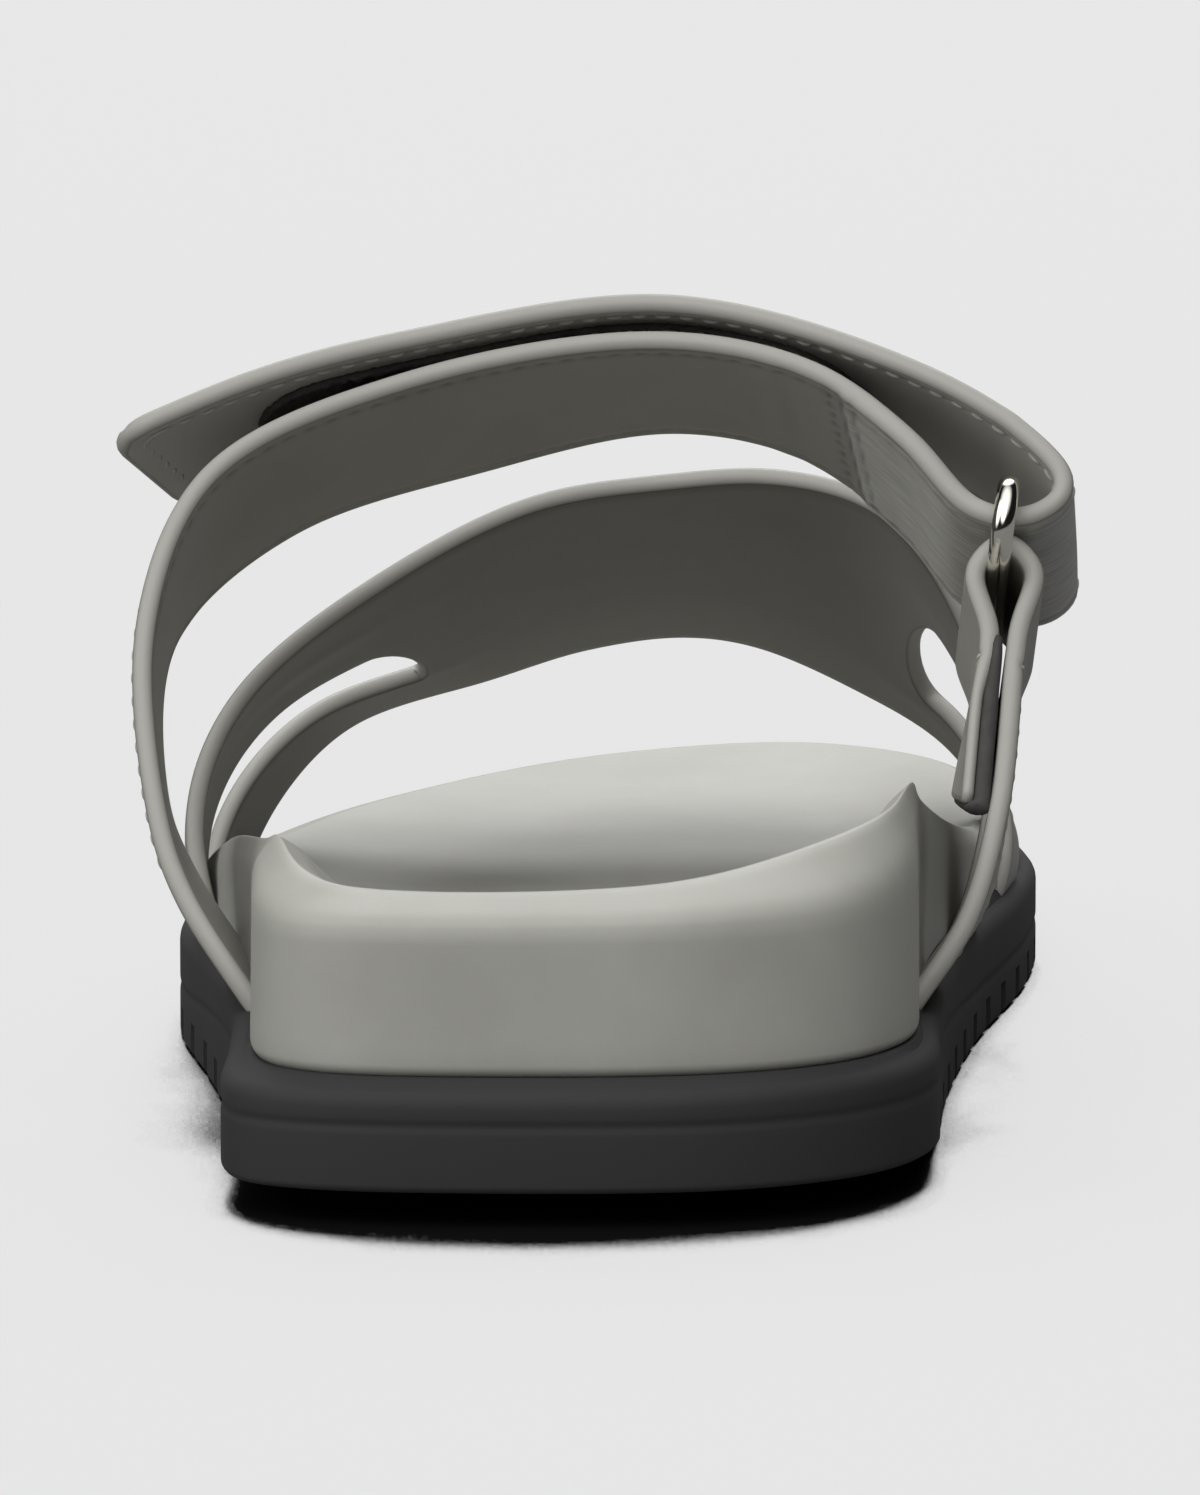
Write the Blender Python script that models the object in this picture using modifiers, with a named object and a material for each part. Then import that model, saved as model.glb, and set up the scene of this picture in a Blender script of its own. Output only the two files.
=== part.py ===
"""A left footbed sandal: outsole, footbed, two straps, a ring on its tab and a hook-and-loop fastener.

The frame has +Y from heel to toe, +X to the inner (medial) side of the foot and +Z up.
The origin is on the floor below the middle of the part.
"""

import math

import bmesh
import bpy
import numpy as np

# Driving sizes, in metres
LENGTH = 0.275              # outsole, heel edge to toe edge
BALL_WIDTH = 0.105          # outsole, across the ball of the foot
INSTEP_HEIGHT = 0.090       # floor to the crown of the instep strap
HEEL_HEIGHT = 0.036         # floor to the rim at the back of the heel
CENTRE_SHIFT = 0.0020       # from the axis of the last to the middle of the part, across

# The tables below are drawn for a last of these sizes, in millimetres
DRAWN_LENGTH = 275.0
DRAWN_BALL = 105.0
DRAWN_INSTEP = 90.0
DRAWN_HEEL = 36.0
MM = 0.001

# Thicknesses and clearances, in millimetres
STRAP_THICK = 2.5
FRONT_THICK = 2.3
PATCH_THICK = 0.6
CLEAR = 0.3
STRAP_WIDTH = 33.0
TAB_WIDTH = 30.0
WIRE_RADIUS = 1.25

# Outsole and footbed outline, heel round by the lateral side to the toe and back by the medial side.
# ledge is the outsole's rim outside the footbed, crest_in the way from the footbed's wall to its crest,
# crest_up the height of that crest, shoulder its fall from there to the wall.
OUTLINE = [
    # name,               across, along, ledge, crest_in, crest_up, shoulder
    ("heel_back",           -8.0,   0.15,  4.8,  6.0,  35.7,  3.2),
    ("heel_back_lateral",  -27.0,   1.7,   4.9,  7.0,  35.8,  3.4),
    ("heel_corner_lateral", -36.0,  6.6,   5.6,  5.8,  36.3,  4.2),
    ("heel_side_lateral",  -39.0,  15.0,   4.0,  4.8,  37.2,  4.6),
    ("heel_lateral",       -39.9,  34.0,   2.6,  3.4,  38.8,  4.6),
    ("waist_lateral",      -42.5,  70.0,   2.4,  1.4,  34.0,  4.2),
    ("mid_lateral",        -48.3, 106.0,   2.2,  0.9,  29.7,  4.2),
    ("ball_lateral",       -55.7, 150.0,   2.0,  1.2,  20.5,  4.4),
    ("toe_five",           -54.0, 196.0,   2.8,  4.0,  18.2,  4.4),
    ("toe_four",           -41.0, 238.0,   2.8,  4.0,  18.8,  4.4),
    ("toe_three",          -14.0, 267.0,   2.8,  4.0,  21.2,  4.4),
    ("toe_tip",             17.0, 274.6,   2.8,  4.0,  22.6,  4.4),
    ("toe_one",             39.0, 259.0,   2.8,  4.0,  22.5,  4.4),
    ("toe_joint",           49.2, 226.0,   2.8,  4.0,  21.8,  4.4),
    ("ball_medial",         49.2, 195.0,   2.6,  4.0,  20.8,  4.4),
    ("mid_medial",          43.2, 140.0,   2.4,  0.8,  27.6,  4.4),
    ("arch_medial",         40.4,  95.0,   2.6,  0.6,  36.0,  4.8),
    ("heel_medial",         39.9,  58.0,   2.4,  0.9,  42.6,  5.0),
    ("heel_side_medial",    39.6,  31.0,   2.6,  3.8,  41.4,  6.8),
    ("heel_corner_medial",  32.4,  14.4,   3.6,  7.8,  38.8,  5.8),
    ("heel_back_medial",    17.0,   3.2,   5.0,  6.8,  36.7,  4.0),
]

# Height of the outsole's top edge, of the groove in its side and of the footbed's middle, heel to toe
PROFILE = [
    # along, top, groove, bed
    (0.0,    15.1, 11.2, 26.0),
    (40.0,   15.6, 11.2, 25.5),
    (90.0,   15.0,  9.4, 23.2),
    (140.0,  13.7,  6.4, 18.3),
    (185.0,  13.2,  6.0, 16.3),
    (275.0,  13.0,  6.0, 16.6),
]

HEEL_FLAT = 70.0            # the bevel round the heel's lower edge ends here
HEEL_FADE = 36.0            # over this length
HEEL_BEVEL = 3.8            # height of the bevel
BEVEL_ACROSS = 0.6          # and how far it draws in, as shares of the sole's width
BEVEL_ALONG = 0.83          # and of its length
TOE_FLAT = 212.0            # the toe spring starts here
TOE_SPRING = 5.2            # lift of the sole at the toe
LEDGE_RISE = 0.8            # the ledge climbs this much from its edge to the footbed
LIP = 2.0                   # rounding of the sole's upper edge
GROOVE_DEEP = 0.3
GROOVE_HALF = 0.8
SOLE_EDGE = 0.9             # rounding of the sole's lower edge
BED_EDGE = 2.0              # rounding of the footbed's lower edge
BED_LEAN = 0.2              # the footbed's wall leans in this much from its foot to its shoulder

# Tread bars: slots across the sole between the heel and the toe
SLOT_FIRST = 69.0
SLOT_LAST = 214.0
SLOT_PITCH = 14.0
SLOT_WIDE = 5.0
SLOT_HIGH = 4.2

# Front strap, lateral leg to medial leg: rear edge, front edge and how far it swells out between them
FRONT_STRAP = [
    # name,            rear: across, along, up   front: across, along, up   swell
    ("tuck_lateral",   -44.6, 114.0, 10.6,       -49.4, 176.0, 10.4,       -2.6),
    ("seam_lateral",   -48.2, 115.0, 17.0,       -50.8, 178.0, 14.5,       -2.8),
    ("side_lateral",   -51.2, 121.0, 30.0,       -47.2, 188.0, 24.0,       -2.8),
    ("bend_lateral",   -47.0, 135.5, 42.9,       -38.0, 201.0, 33.0,       -2.2),
    ("slope_lateral",  -32.2, 151.0, 55.0,       -20.5, 212.5, 37.8,       -1.2),
    ("crown_lateral",  -13.0, 161.5, 64.6,        -8.0, 217.5, 41.2,        0.0),
    ("crown",            4.0, 165.5, 67.2,         4.0, 219.5, 42.6,        0.0),
    ("crown_medial",    18.0, 162.5, 68.2,        14.0, 219.5, 41.2,        0.0),
    ("slope_medial",    31.6, 154.5, 64.8,        26.6, 216.0, 36.2,        0.0),
    ("bend_medial",     42.0, 139.5, 52.0,        39.0, 208.5, 29.6,        0.0),
    ("side_medial",     45.6, 131.0, 36.0,        45.6, 201.5, 21.2,        0.0),
    ("seam_medial",     42.0, 127.5, 17.5,        46.8, 198.5, 14.6,        0.0),
    ("tuck_medial",     38.0, 126.0, 10.8,        45.2, 197.0, 10.4,        0.0),
]
FRONT_RUN = 67.0            # from its rear edge to its front edge
FRONT_SPAN = 190.0          # from its lateral end to its medial end
FRONT_BURIED = 0.14         # share of its length in and close to the seam at each end

# The slots that part the front strap's legs: where the round tip is along the strap,
# and the slot's middle and width at its tip and at the seam, as shares of the strap's width
SLOTS = [
    # name,     tip,   middle, width, foot middle, foot width
    ("lateral", 0.326, 0.64,   0.33,  0.52,        0.22),
    ("medial",  0.736, 0.55,   0.50,  0.52,        0.44),
]
SLOT_ROUND = 0.22           # the tip rounds off over this share of the slot's width

# Instep strap, lateral sole to free end: its rear edge, how far the front edge dips and leans inward
INSTEP_STRAP = [
    # name,           across, along,  up,  dip (degrees), inward
    ("tuck",          -35.6,  58.0,  11.6,  0.0,  -3.0),
    ("seam",          -40.4,  59.5,  18.0,  0.0,  -3.4),
    ("rise",          -47.2,  64.0,  27.5,  1.2,  -3.0),
    ("side_low",      -50.8,  69.0,  36.0,  3.0,  -2.9),
    ("side_high",     -53.5,  83.0,  58.0,  9.0,   0.0),
    ("shoulder",      -47.0,  95.5,  74.5, 17.4,   7.2),
    ("crown_lateral", -25.0, 106.5,  84.5, 23.3,   7.6),
    ("crown",           4.8, 109.0,  89.4, 23.6,   1.8),
    ("crown_medial",   23.6, 104.0,  86.4, 23.9,  -0.4),
    ("ring_in",        35.4,  97.5,  78.9, 25.4,  -0.2),
    ("ring_pass",      43.4,  93.4,  71.0, 27.0,   0.0),
    ("fold_low",       50.2,  92.1,  70.4, 28.6,   0.6),
    ("fold_out",       54.1,  93.6,  73.6, 28.6,   0.6),
    ("fold_high",      51.2,  96.4,  77.8, 26.6,   0.0),
    ("flap_medial",    37.5, 102.6,  85.9, 24.0,  -0.4),
    ("flap_crown",      6.8, 111.2,  93.6, 22.4,   1.6),
    ("flap_lateral",  -25.8, 108.6,  89.2, 22.0,   7.0),
    ("flap_side",     -41.6, 104.4,  85.3, 21.5,   7.0),
    ("flap_end",      -59.0,  98.7,  78.4, 19.4,   6.8),
]
INSTEP_BURIED = 0.11        # share of its length in and close to the seam
LOWER_RUN = (0.16, 0.56)    # shares of its length that lie under the flap, and of the flap itself
FLAP_RUN = (0.62, 1.0)
PATCHES = [
    # name,        from and to, across;  margin at the strap's edges, as a share of its width
    ("loop_patch", -36.0, 30.0, 0.11),
    ("hook_patch", -46.0, 30.0, 0.15),
]

# Ring tab, medial sole to its free inner end
RING_TAB = [
    # name,          across, along,  up,  dip (degrees), inward
    ("tuck",          33.4,  60.0,  11.8,  0.0,  2.0),
    ("seam",          37.6,  61.0,  17.6,  0.0,  2.0),
    ("low",           43.0,  66.5,  25.6,  5.0,  0.6),
    ("middle",        46.6,  75.0,  38.0, 14.0, -0.8),
    ("neck_outer",    48.8,  87.3,  56.9, 25.0, -1.5),
    ("loop_outer",    50.3,  91.0,  64.0, 27.0, -1.5),
    ("loop_top",      46.8,  92.5,  66.9, 27.0, -1.5),
    ("loop_inner",    43.0,  91.0,  64.0, 27.0, -1.5),
    ("neck_inner",    45.0,  87.3,  56.9, 25.0, -1.5),
    ("inner",         44.2,  82.6,  49.0, 18.0, -1.6),
    ("inner_end",     43.3,  75.4,  38.7,  6.0, -1.6),
]
TAB_BURIED = 0.2            # share of its length in and close to the seam

# Ring: a wire loop tilted with the strap, turned a little and leaning outward (degrees)
RING_ACROSS = 46.6
RING_ALONG = 106.7
RING_UP = 61.5
RING_DIP = 27.0
RING_YAW = -2.5
RING_LEAN = 7.0
RING_HALF_HIGH = 4.7
RING_HALF_LONG = 20.3

# How finely the curves are cut
SOLE_POINTS = 96
FRONT_STATIONS = 40
INSTEP_STATIONS = 92
TAB_STATIONS = 54
PATCH_STATIONS = 20
RING_BEND_POINTS = 9

RUBBER = (0.030, 0.029, 0.031, 1.0)
LEATHER = (0.36, 0.355, 0.32, 1.0)
STRAP_LEATHER = (0.32, 0.315, 0.285, 1.0)
STEEL = (0.72, 0.70, 0.66, 1.0)
PILE = (0.020, 0.016, 0.014, 1.0)


def place(points):
    """Table millimetres (across, along, up) to metres in the part's frame."""
    points = np.asarray(points, float)
    scale = np.array([BALL_WIDTH / DRAWN_BALL, LENGTH / DRAWN_LENGTH, INSTEP_HEIGHT / DRAWN_INSTEP])
    return points * scale + np.array([CENTRE_SHIFT, -LENGTH / 2, 0.0])


class Path:
    """A smooth curve through the rows of a table, read by its share of the length."""

    def __init__(self, rows, closed=False, measured=3, steps=24):
        knots = np.array([row[1:] if isinstance(row[0], str) else row for row in rows], float)
        if closed:
            knots = np.vstack([knots[-2:], knots, knots[:3]])
        chords = np.linalg.norm(np.diff(knots[:, :measured], axis=0), axis=1)
        spans = np.sqrt(chords)[:, None]
        slopes = np.diff(knots, axis=0) / spans
        tangents = np.vstack([
            slopes[:1],
            (slopes[:-1] * spans[1:] + slopes[1:] * spans[:-1]) / (spans[:-1] + spans[1:]),
            slopes[-1:],
        ])
        first, last = (2, len(knots) - 3) if closed else (0, len(knots) - 1)
        pieces = []
        for i in range(first, last):
            t = np.linspace(0.0, 1.0, steps, endpoint=False)[:, None]
            span = spans[i]
            pieces.append(
                (2 * t**3 - 3 * t**2 + 1) * knots[i]
                + (t**3 - 2 * t**2 + t) * span * tangents[i]
                + (3 * t**2 - 2 * t**3) * knots[i + 1]
                + (t**3 - t**2) * span * tangents[i + 1]
            )
        self.fine = np.vstack(pieces + [knots[last:last + 1]])
        lengths = np.linalg.norm(np.diff(self.fine[:, :measured], axis=0), axis=1)
        self.share = np.concatenate([[0.0], np.cumsum(lengths)]) / lengths.sum()

    def at(self, shares):
        """Rows of the table's columns at these shares of the length."""
        return np.stack([np.interp(shares, self.share, column) for column in self.fine.T], axis=-1)

    def share_where(self, column, values, low, high):
        """The shares between low and high where a column that rises or falls steadily takes these values."""
        inside = (self.share >= low) & (self.share <= high)
        shares, found = self.share[inside], self.fine[inside, column]
        order = np.argsort(found)
        return np.interp(values, found[order], shares[order])


def material(name, colour, roughness, metallic=0.0):
    """A plain Principled material."""
    made = bpy.data.materials.new(name)
    made.use_nodes = True
    shader = made.node_tree.nodes["Principled BSDF"]
    shader.inputs["Base Color"].default_value = colour
    shader.inputs["Roughness"].default_value = roughness
    shader.inputs["Metallic"].default_value = metallic
    return made


def add_object(name, mesh, group, finish=None):
    """A mesh as a named object in its collection."""
    made = bpy.data.objects.new(name, mesh)
    group.objects.link(made)
    if finish:
        mesh.materials.append(finish)
        mesh.shade_smooth()
        mesh.set_sharp_from_angle(angle=math.radians(40))
    return made


def loft(name, rings):
    """A closed mesh through rings of equal point count, with a flat cap at both ends."""
    bm = bmesh.new()
    rows = [[bm.verts.new(point) for point in place(ring)] for ring in rings]
    count = len(rows[0])
    for low, high in zip(rows[:-1], rows[1:]):
        for i in range(count):
            j = (i + 1) % count
            bm.faces.new((low[i], low[j], high[j], high[i]))
    caps = [bm.faces.new(list(reversed(rows[0]))), bm.faces.new(rows[-1])]
    bmesh.ops.triangulate(bm, faces=caps)
    bmesh.ops.recalc_face_normals(bm, faces=bm.faces)
    mesh = bpy.data.meshes.new(name)
    bm.to_mesh(mesh)
    bm.free()
    return mesh


def grids_mesh(name, grids):
    """Open surfaces, each a grid of points, welded where their edges meet."""
    bm = bmesh.new()
    for grid in grids:
        rows, columns = grid.shape[:2]
        verts = [[bm.verts.new(point) for point in place(line)] for line in grid]
        for i in range(rows - 1):
            for j in range(columns - 1):
                bm.faces.new((verts[i][j], verts[i + 1][j], verts[i + 1][j + 1], verts[i][j + 1]))
    bmesh.ops.remove_doubles(bm, verts=bm.verts, dist=0.02 * MM)
    mesh = bpy.data.meshes.new(name)
    bm.to_mesh(mesh)
    bm.free()
    return mesh


def thicken(target, thickness):
    """A wall of this thickness on both sides of an open surface."""
    solid = target.modifiers.new("wall", "SOLIDIFY")
    solid.thickness = thickness * MM
    solid.offset = 0.0
    solid.use_even_offset = True


def cut(target, cutter):
    """Take a cutter's shape out of a piece."""
    boolean = target.modifiers.new("cut_" + cutter.name, "BOOLEAN")
    boolean.operation = "DIFFERENCE"
    boolean.object = cutter


def as_cutter(target):
    """Mark an object as a cutter, which is no piece of the part."""
    target.hide_render = True
    target.display_type = "WIRE"
    return target


def heights(along, column):
    """A column of the heel-to-toe profile, with the toe spring added."""
    table = np.array(PROFILE)
    return np.interp(along, table[:, 0], table[:, column]) + toe_lift(along)


def toe_lift(along):
    """Lift of the sole in front of its flat stretch."""
    return TOE_SPRING * (np.clip(along - TOE_FLAT, 0.0, None) / (DRAWN_LENGTH - TOE_FLAT)) ** 2


def heel_lift(along):
    """Lift of the sole's lower edge round the heel."""
    share = np.clip((HEEL_FLAT - along) / HEEL_FADE, 0.0, 1.0)
    return HEEL_BEVEL * share**2 * (3.0 - 2.0 * share)


def lower_edge(along):
    """Height of the sole's lower edge: heel bevel, flat stretch, toe spring."""
    return heel_lift(along) + toe_lift(along)


def sole_outline():
    """Evenly spaced outline points, their outward normals and the other columns of the table."""
    path = Path(OUTLINE, closed=True, measured=2)
    rows = path.at(np.arange(SOLE_POINTS) / SOLE_POINTS)
    ahead = np.roll(rows[:, :2], -1, axis=0) - np.roll(rows[:, :2], 1, axis=0)
    normals = np.stack([-ahead[:, 1], ahead[:, 0]], axis=-1)
    normals /= np.linalg.norm(normals, axis=1)[:, None]
    outward = np.sign(np.sum(normals * (rows[:, :2] - np.array([0.0, DRAWN_LENGTH / 2]))))
    return rows[:, :2], normals * outward, rows[:, 2:]


def ring_at(outline, normals, inset, up):
    """One ring of points at an inset from the outline and a height, which may be a function of along."""
    flat = outline - normals * np.reshape(inset, (-1, 1))
    level = up(flat[:, 1]) if callable(up) else up
    return np.column_stack([flat, np.broadcast_to(level, len(flat))])


def drawn_in(ring, across, along, up):
    """A ring drawn in towards the middle of the sole, at a new height."""
    middle = DRAWN_LENGTH / 2
    flat = np.column_stack([ring[:, 0] * across, middle + (ring[:, 1] - middle) * along])
    return np.column_stack([flat, up(flat[:, 1])])


def outsole_rings():
    """The outsole from the middle of its underside, up its side, to the middle of its top."""
    outline, normals, columns = sole_outline()
    ledge = columns[:, 0]

    def top(along):
        return heights(along, 1)

    def groove(along):
        return heights(along, 2)

    def seat(along):
        return top(along) + LEDGE_RISE

    lower = ring_at(outline, normals, SOLE_EDGE, lower_edge)
    tread = drawn_in(lower, BEVEL_ACROSS, BEVEL_ALONG, toe_lift)
    inner = ring_at(outline, normals, ledge, seat)
    under = ring_at(outline, normals, ledge + BED_EDGE, seat)
    side = [
        (0.3 * SOLE_EDGE, lambda a: lower_edge(a) + 0.3 * SOLE_EDGE),
        (0.0, lambda a: lower_edge(a) + SOLE_EDGE),
        (0.0, lambda a: groove(a) - GROOVE_HALF),
        (GROOVE_DEEP, groove),
        (0.0, lambda a: groove(a) + GROOVE_HALF),
        (0.0, lambda a: top(a) - LIP),
        (0.3 * LIP, lambda a: top(a) - 0.3 * LIP),
        (LIP, top),
    ]
    rings = [drawn_in(tread, *share, toe_lift) for share in ((0.45, 0.5), (0.7, 0.75))]
    rings += [tread, lower]
    rings += [ring_at(outline, normals, inset, up) for inset, up in side]
    rings += [inner, under, drawn_in(under, 0.85, 0.9, seat), drawn_in(under, 0.45, 0.5, seat)]
    return rings


def footbed_rings():
    """The footbed from the middle of its base, round its wall and crest, to the middle of the bed."""
    outline, normals, columns = sole_outline()
    ledge, crest_in, crest_up, shoulder = columns.T
    crest_up = crest_up * (HEEL_HEIGHT / DRAWN_HEEL) / (INSTEP_HEIGHT / DRAWN_INSTEP)

    def base(along):
        return heights(along, 1) + LEDGE_RISE + CLEAR

    def bed(along):
        return heights(along, 3)

    foot = ring_at(outline, normals, ledge + BED_EDGE, base)
    level = base((outline - normals * ledge[:, None])[:, 1])
    rise = crest_up - level
    soft = np.minimum(1.0, rise / 14.0)
    fall = shoulder * soft
    wall = [
        (0.3 * BED_EDGE, level + 0.28 * BED_EDGE * soft),
        (0.0, level + BED_EDGE * soft),
        (0.5 * BED_LEAN, level + 0.5 * rise),
        (BED_LEAN, crest_up - fall),
        (BED_LEAN + 0.16 * crest_in, crest_up - 0.65 * fall),
        (BED_LEAN + 0.55 * crest_in, crest_up - 0.28 * fall),
        (BED_LEAN + crest_in, crest_up),
    ]
    rings = [drawn_in(foot, 0.45, 0.5, base), drawn_in(foot, 0.85, 0.9, base), foot]
    rings += [ring_at(outline, normals, ledge + inset, up) for inset, up in wall]
    crest = rings[-1]
    hollow = [
        # across, along, share of the way down from crest to bed
        (0.94, 0.978, 0.10),
        (0.84, 0.945, 0.42),
        (0.70, 0.900, 0.80),
        (0.52, 0.840, 1.00),
        (0.26, 0.600, 1.00),
    ]
    for across, along, down in hollow:
        ring = drawn_in(crest, across, along, bed)
        ring[:, 2] += (1.0 - down) * (crest[:, 2] - bed(crest[:, 1]))
        rings.append(ring)
    return rings


def tread_cutter(group):
    """Bars of the tread, parted by slots right across the sole."""
    bm = bmesh.new()
    for along in np.arange(SLOT_FIRST, SLOT_LAST, SLOT_PITCH):
        made = bmesh.ops.create_cube(bm, size=1.0)["verts"]
        bmesh.ops.scale(bm, verts=made, vec=(2 * BALL_WIDTH, SLOT_WIDE * MM, 2 * SLOT_HIGH * MM))
        bmesh.ops.translate(bm, verts=made, vec=place([0.0, along, 0.0]))
    mesh = bpy.data.meshes.new("tread_slots")
    bm.to_mesh(mesh)
    bm.free()
    return as_cutter(add_object("tread_slots", mesh, group))


def strap_grid(path, width, shares, sides, overrun=0.0):
    """Points of a strap of constant width, sides running from 0 at its rear edge to 1 at its front."""
    rows = path.at(shares)
    rear = rows[:, :3]
    dip = np.radians(rows[:, 3])
    front = rear + np.column_stack([rows[:, 4], width * np.cos(dip), -width * np.sin(dip)])
    return run_on(spread(rear, front, sides), overrun)


def front_grid(path, shares, sides, overrun=0.0):
    """Points of the front strap; sides has a row of shares of its width for each station."""
    rows = path.at(shares)
    sides = np.broadcast_to(sides, (len(rows), np.shape(sides)[-1]))
    grid = spread(rows[:, :3], rows[:, 3:6], sides)
    grid[:, :, 0] += rows[:, 6:] * 4.0 * sides * (1.0 - sides)
    return run_on(grid, overrun)


def spread(rear, front, sides):
    """Points between two edges."""
    sides = np.broadcast_to(sides, (len(rear), np.shape(sides)[-1]))
    return rear[:, None] + (front - rear)[:, None] * sides[:, :, None]


def run_on(grid, overrun):
    """A grid carried on past its first station by a length."""
    if overrun:
        back = grid[0] - grid[1]
        back /= np.linalg.norm(back, axis=-1)[:, None]
        grid = np.concatenate([(grid[0] + back * overrun)[None], grid])
    return grid


def slot_depth(shares, slot):
    """How far into a slot each station is, as shares of its round tip and of the whole slot."""
    name, tip, _, width, _, _ = slot
    reach = SLOT_ROUND * width * FRONT_RUN / FRONT_SPAN
    inward = tip - shares if name == "lateral" else shares - tip
    whole = tip if name == "lateral" else 1.0 - tip
    return np.clip(inward / reach, 0.0, 1.0), np.clip(inward / whole, 0.0, 1.0)


def front_stations():
    """Stations along the front strap, closer together where a slot rounds off."""
    even = np.linspace(0.0, 1.0, FRONT_STATIONS)
    near = []
    for name, tip, _, width, _, _ in SLOTS:
        reach = SLOT_ROUND * width * FRONT_RUN / FRONT_SPAN
        steps = reach * np.array([0.0, 0.04, 0.14, 0.32, 0.62, 1.0])
        near.append(tip - steps if name == "lateral" else tip + steps)
    near = np.concatenate(near)
    even = even[np.min(np.abs(even[:, None] - near[None]), axis=1) > 0.3 / FRONT_STATIONS]
    return np.sort(np.concatenate([even, near]))


def front_bands(shares, grow=0.0):
    """The rear and the front band of the front strap as shares of its width."""
    lateral, medial = SLOTS
    places = [0.0, lateral[1], medial[1], 1.0]
    middle = np.interp(shares, places, [lateral[4], lateral[2], medial[2], medial[4]])
    half = np.zeros(len(shares))
    for slot in SLOTS:
        rounding, inward = slot_depth(shares, slot)
        width = slot[3] + (slot[5] - slot[3]) * inward
        half += 0.5 * width * np.sqrt(1.0 - (1.0 - rounding) ** 2)
    steps = np.linspace(0.0, 1.0, 4)[None]
    low = (middle - half)[:, None]
    high = (middle + half)[:, None]
    rear = -grow + (low + 2 * grow) * steps
    front = high - grow + (1.0 - high + 2 * grow) * steps
    return rear, front


def pocket(name, grids, thickness, group):
    """A cutter that leaves room for a strap's end in the seam."""
    made = add_object(name, grids_mesh(name, grids), group)
    thicken(made, thickness + 2 * CLEAR)
    return as_cutter(made)


def make_front_strap(group, cutters, finish):
    """The front strap, its slots, and the cutters for its four legs."""
    path = Path(FRONT_STRAP, measured=6)
    shares = front_stations()
    rear, front = front_bands(shares)
    mesh = grids_mesh("front_strap", [front_grid(path, shares, rear), front_grid(path, shares, front)])
    strap = add_object("front_strap", mesh, group, finish)
    thicken(strap, FRONT_THICK)
    grow = CLEAR / FRONT_RUN
    buried = np.linspace(0.0, FRONT_BURIED, 8)
    pockets = []
    for side, leg in (("lateral", buried), ("medial", 1.0 - buried)):
        for band, sides in zip(("rear", "front"), front_bands(leg, grow)):
            grid = front_grid(path, leg, sides, CLEAR)
            pockets.append(pocket("leg_pocket_%s_%s" % (side, band), [grid], FRONT_THICK, cutters))
    return strap, pockets


def make_strap(name, rows, width, stations, buried, group, cutters, finish):
    """A strap of constant width and the cutter for its end in the seam."""
    path = Path(rows)
    sides = np.linspace(0.0, 1.0, 4)[None]
    grid = strap_grid(path, width, np.linspace(0.0, 1.0, stations), sides)
    strap = add_object(name, grids_mesh(name, [grid]), group, finish)
    thicken(strap, STRAP_THICK)
    grow = CLEAR / width
    wide = np.linspace(-grow, 1.0 + grow, 4)[None]
    end = strap_grid(path, width, np.linspace(0.0, buried, 8), wide, CLEAR)
    return strap, pocket(name + "_pocket", [end], STRAP_THICK, cutters)


def normals_toward(grid, other):
    """Unit normals of a grid on the side of another grid."""
    normals = np.cross(np.gradient(grid, axis=0), np.gradient(grid, axis=1))
    normals /= np.linalg.norm(normals, axis=-1)[:, :, None]
    return normals * np.sign(np.sum(normals * (other - grid)))


def make_patches(group, finish):
    """The two layers of the fastener, one on the strap's lower run and one under its flap."""
    path = Path(INSTEP_STRAP)
    offset = 0.5 * (STRAP_THICK + PATCH_THICK + CLEAR)
    for name, first, last, margin in PATCHES:
        across = np.linspace(first, last, PATCH_STATIONS)
        lower = path.share_where(0, across, *LOWER_RUN)
        upper = path.share_where(0, across, *FLAP_RUN)
        sides = np.linspace(margin, 1.0 - margin, 4)[None]
        below = strap_grid(path, STRAP_WIDTH, lower, sides)
        above = strap_grid(path, STRAP_WIDTH, upper, sides)
        own, other = (below, above) if name == "loop_patch" else (above, below)
        grid = own + offset * normals_toward(own, other)
        thicken(add_object(name, grids_mesh(name, [grid]), group, finish), PATCH_THICK)


def ring_points():
    """The middle of the ring's wire: two bars along the strap's width, joined by half-round bends."""
    dip, yaw, lean = (math.radians(angle) for angle in (RING_DIP, RING_YAW, RING_LEAN))
    long_axis = np.array([math.sin(yaw), math.cos(yaw) * math.cos(dip), -math.cos(yaw) * math.sin(dip)])
    high_axis = np.array([math.tan(lean), math.sin(dip), math.cos(dip)])
    high_axis -= long_axis * np.dot(high_axis, long_axis)
    high_axis /= np.linalg.norm(high_axis)
    centre = np.array([RING_ACROSS, RING_ALONG, RING_UP])
    straight = RING_HALF_LONG - RING_HALF_HIGH
    points = []
    for end in (1.0, -1.0):
        for turn in np.linspace(-0.5, 0.5, RING_BEND_POINTS) * math.pi:
            along = end * (straight + RING_HALF_HIGH * math.cos(turn))
            points.append(centre + along * long_axis + end * RING_HALF_HIGH * math.sin(turn) * high_axis)
    return points


def make_ring(group, finish):
    """The wire ring."""
    points = ring_points()
    curve = bpy.data.curves.new("ring", "CURVE")
    curve.dimensions = "3D"
    curve.bevel_depth = WIRE_RADIUS * MM
    curve.bevel_resolution = 2
    spline = curve.splines.new("POLY")
    spline.points.add(len(points) - 1)
    for target, point in zip(spline.points, place(points)):
        target.co = (*point, 1.0)
    spline.use_cyclic_u = True
    curve.materials.append(finish)
    ring = bpy.data.objects.new("ring", curve)
    group.objects.link(ring)
    return ring


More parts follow.
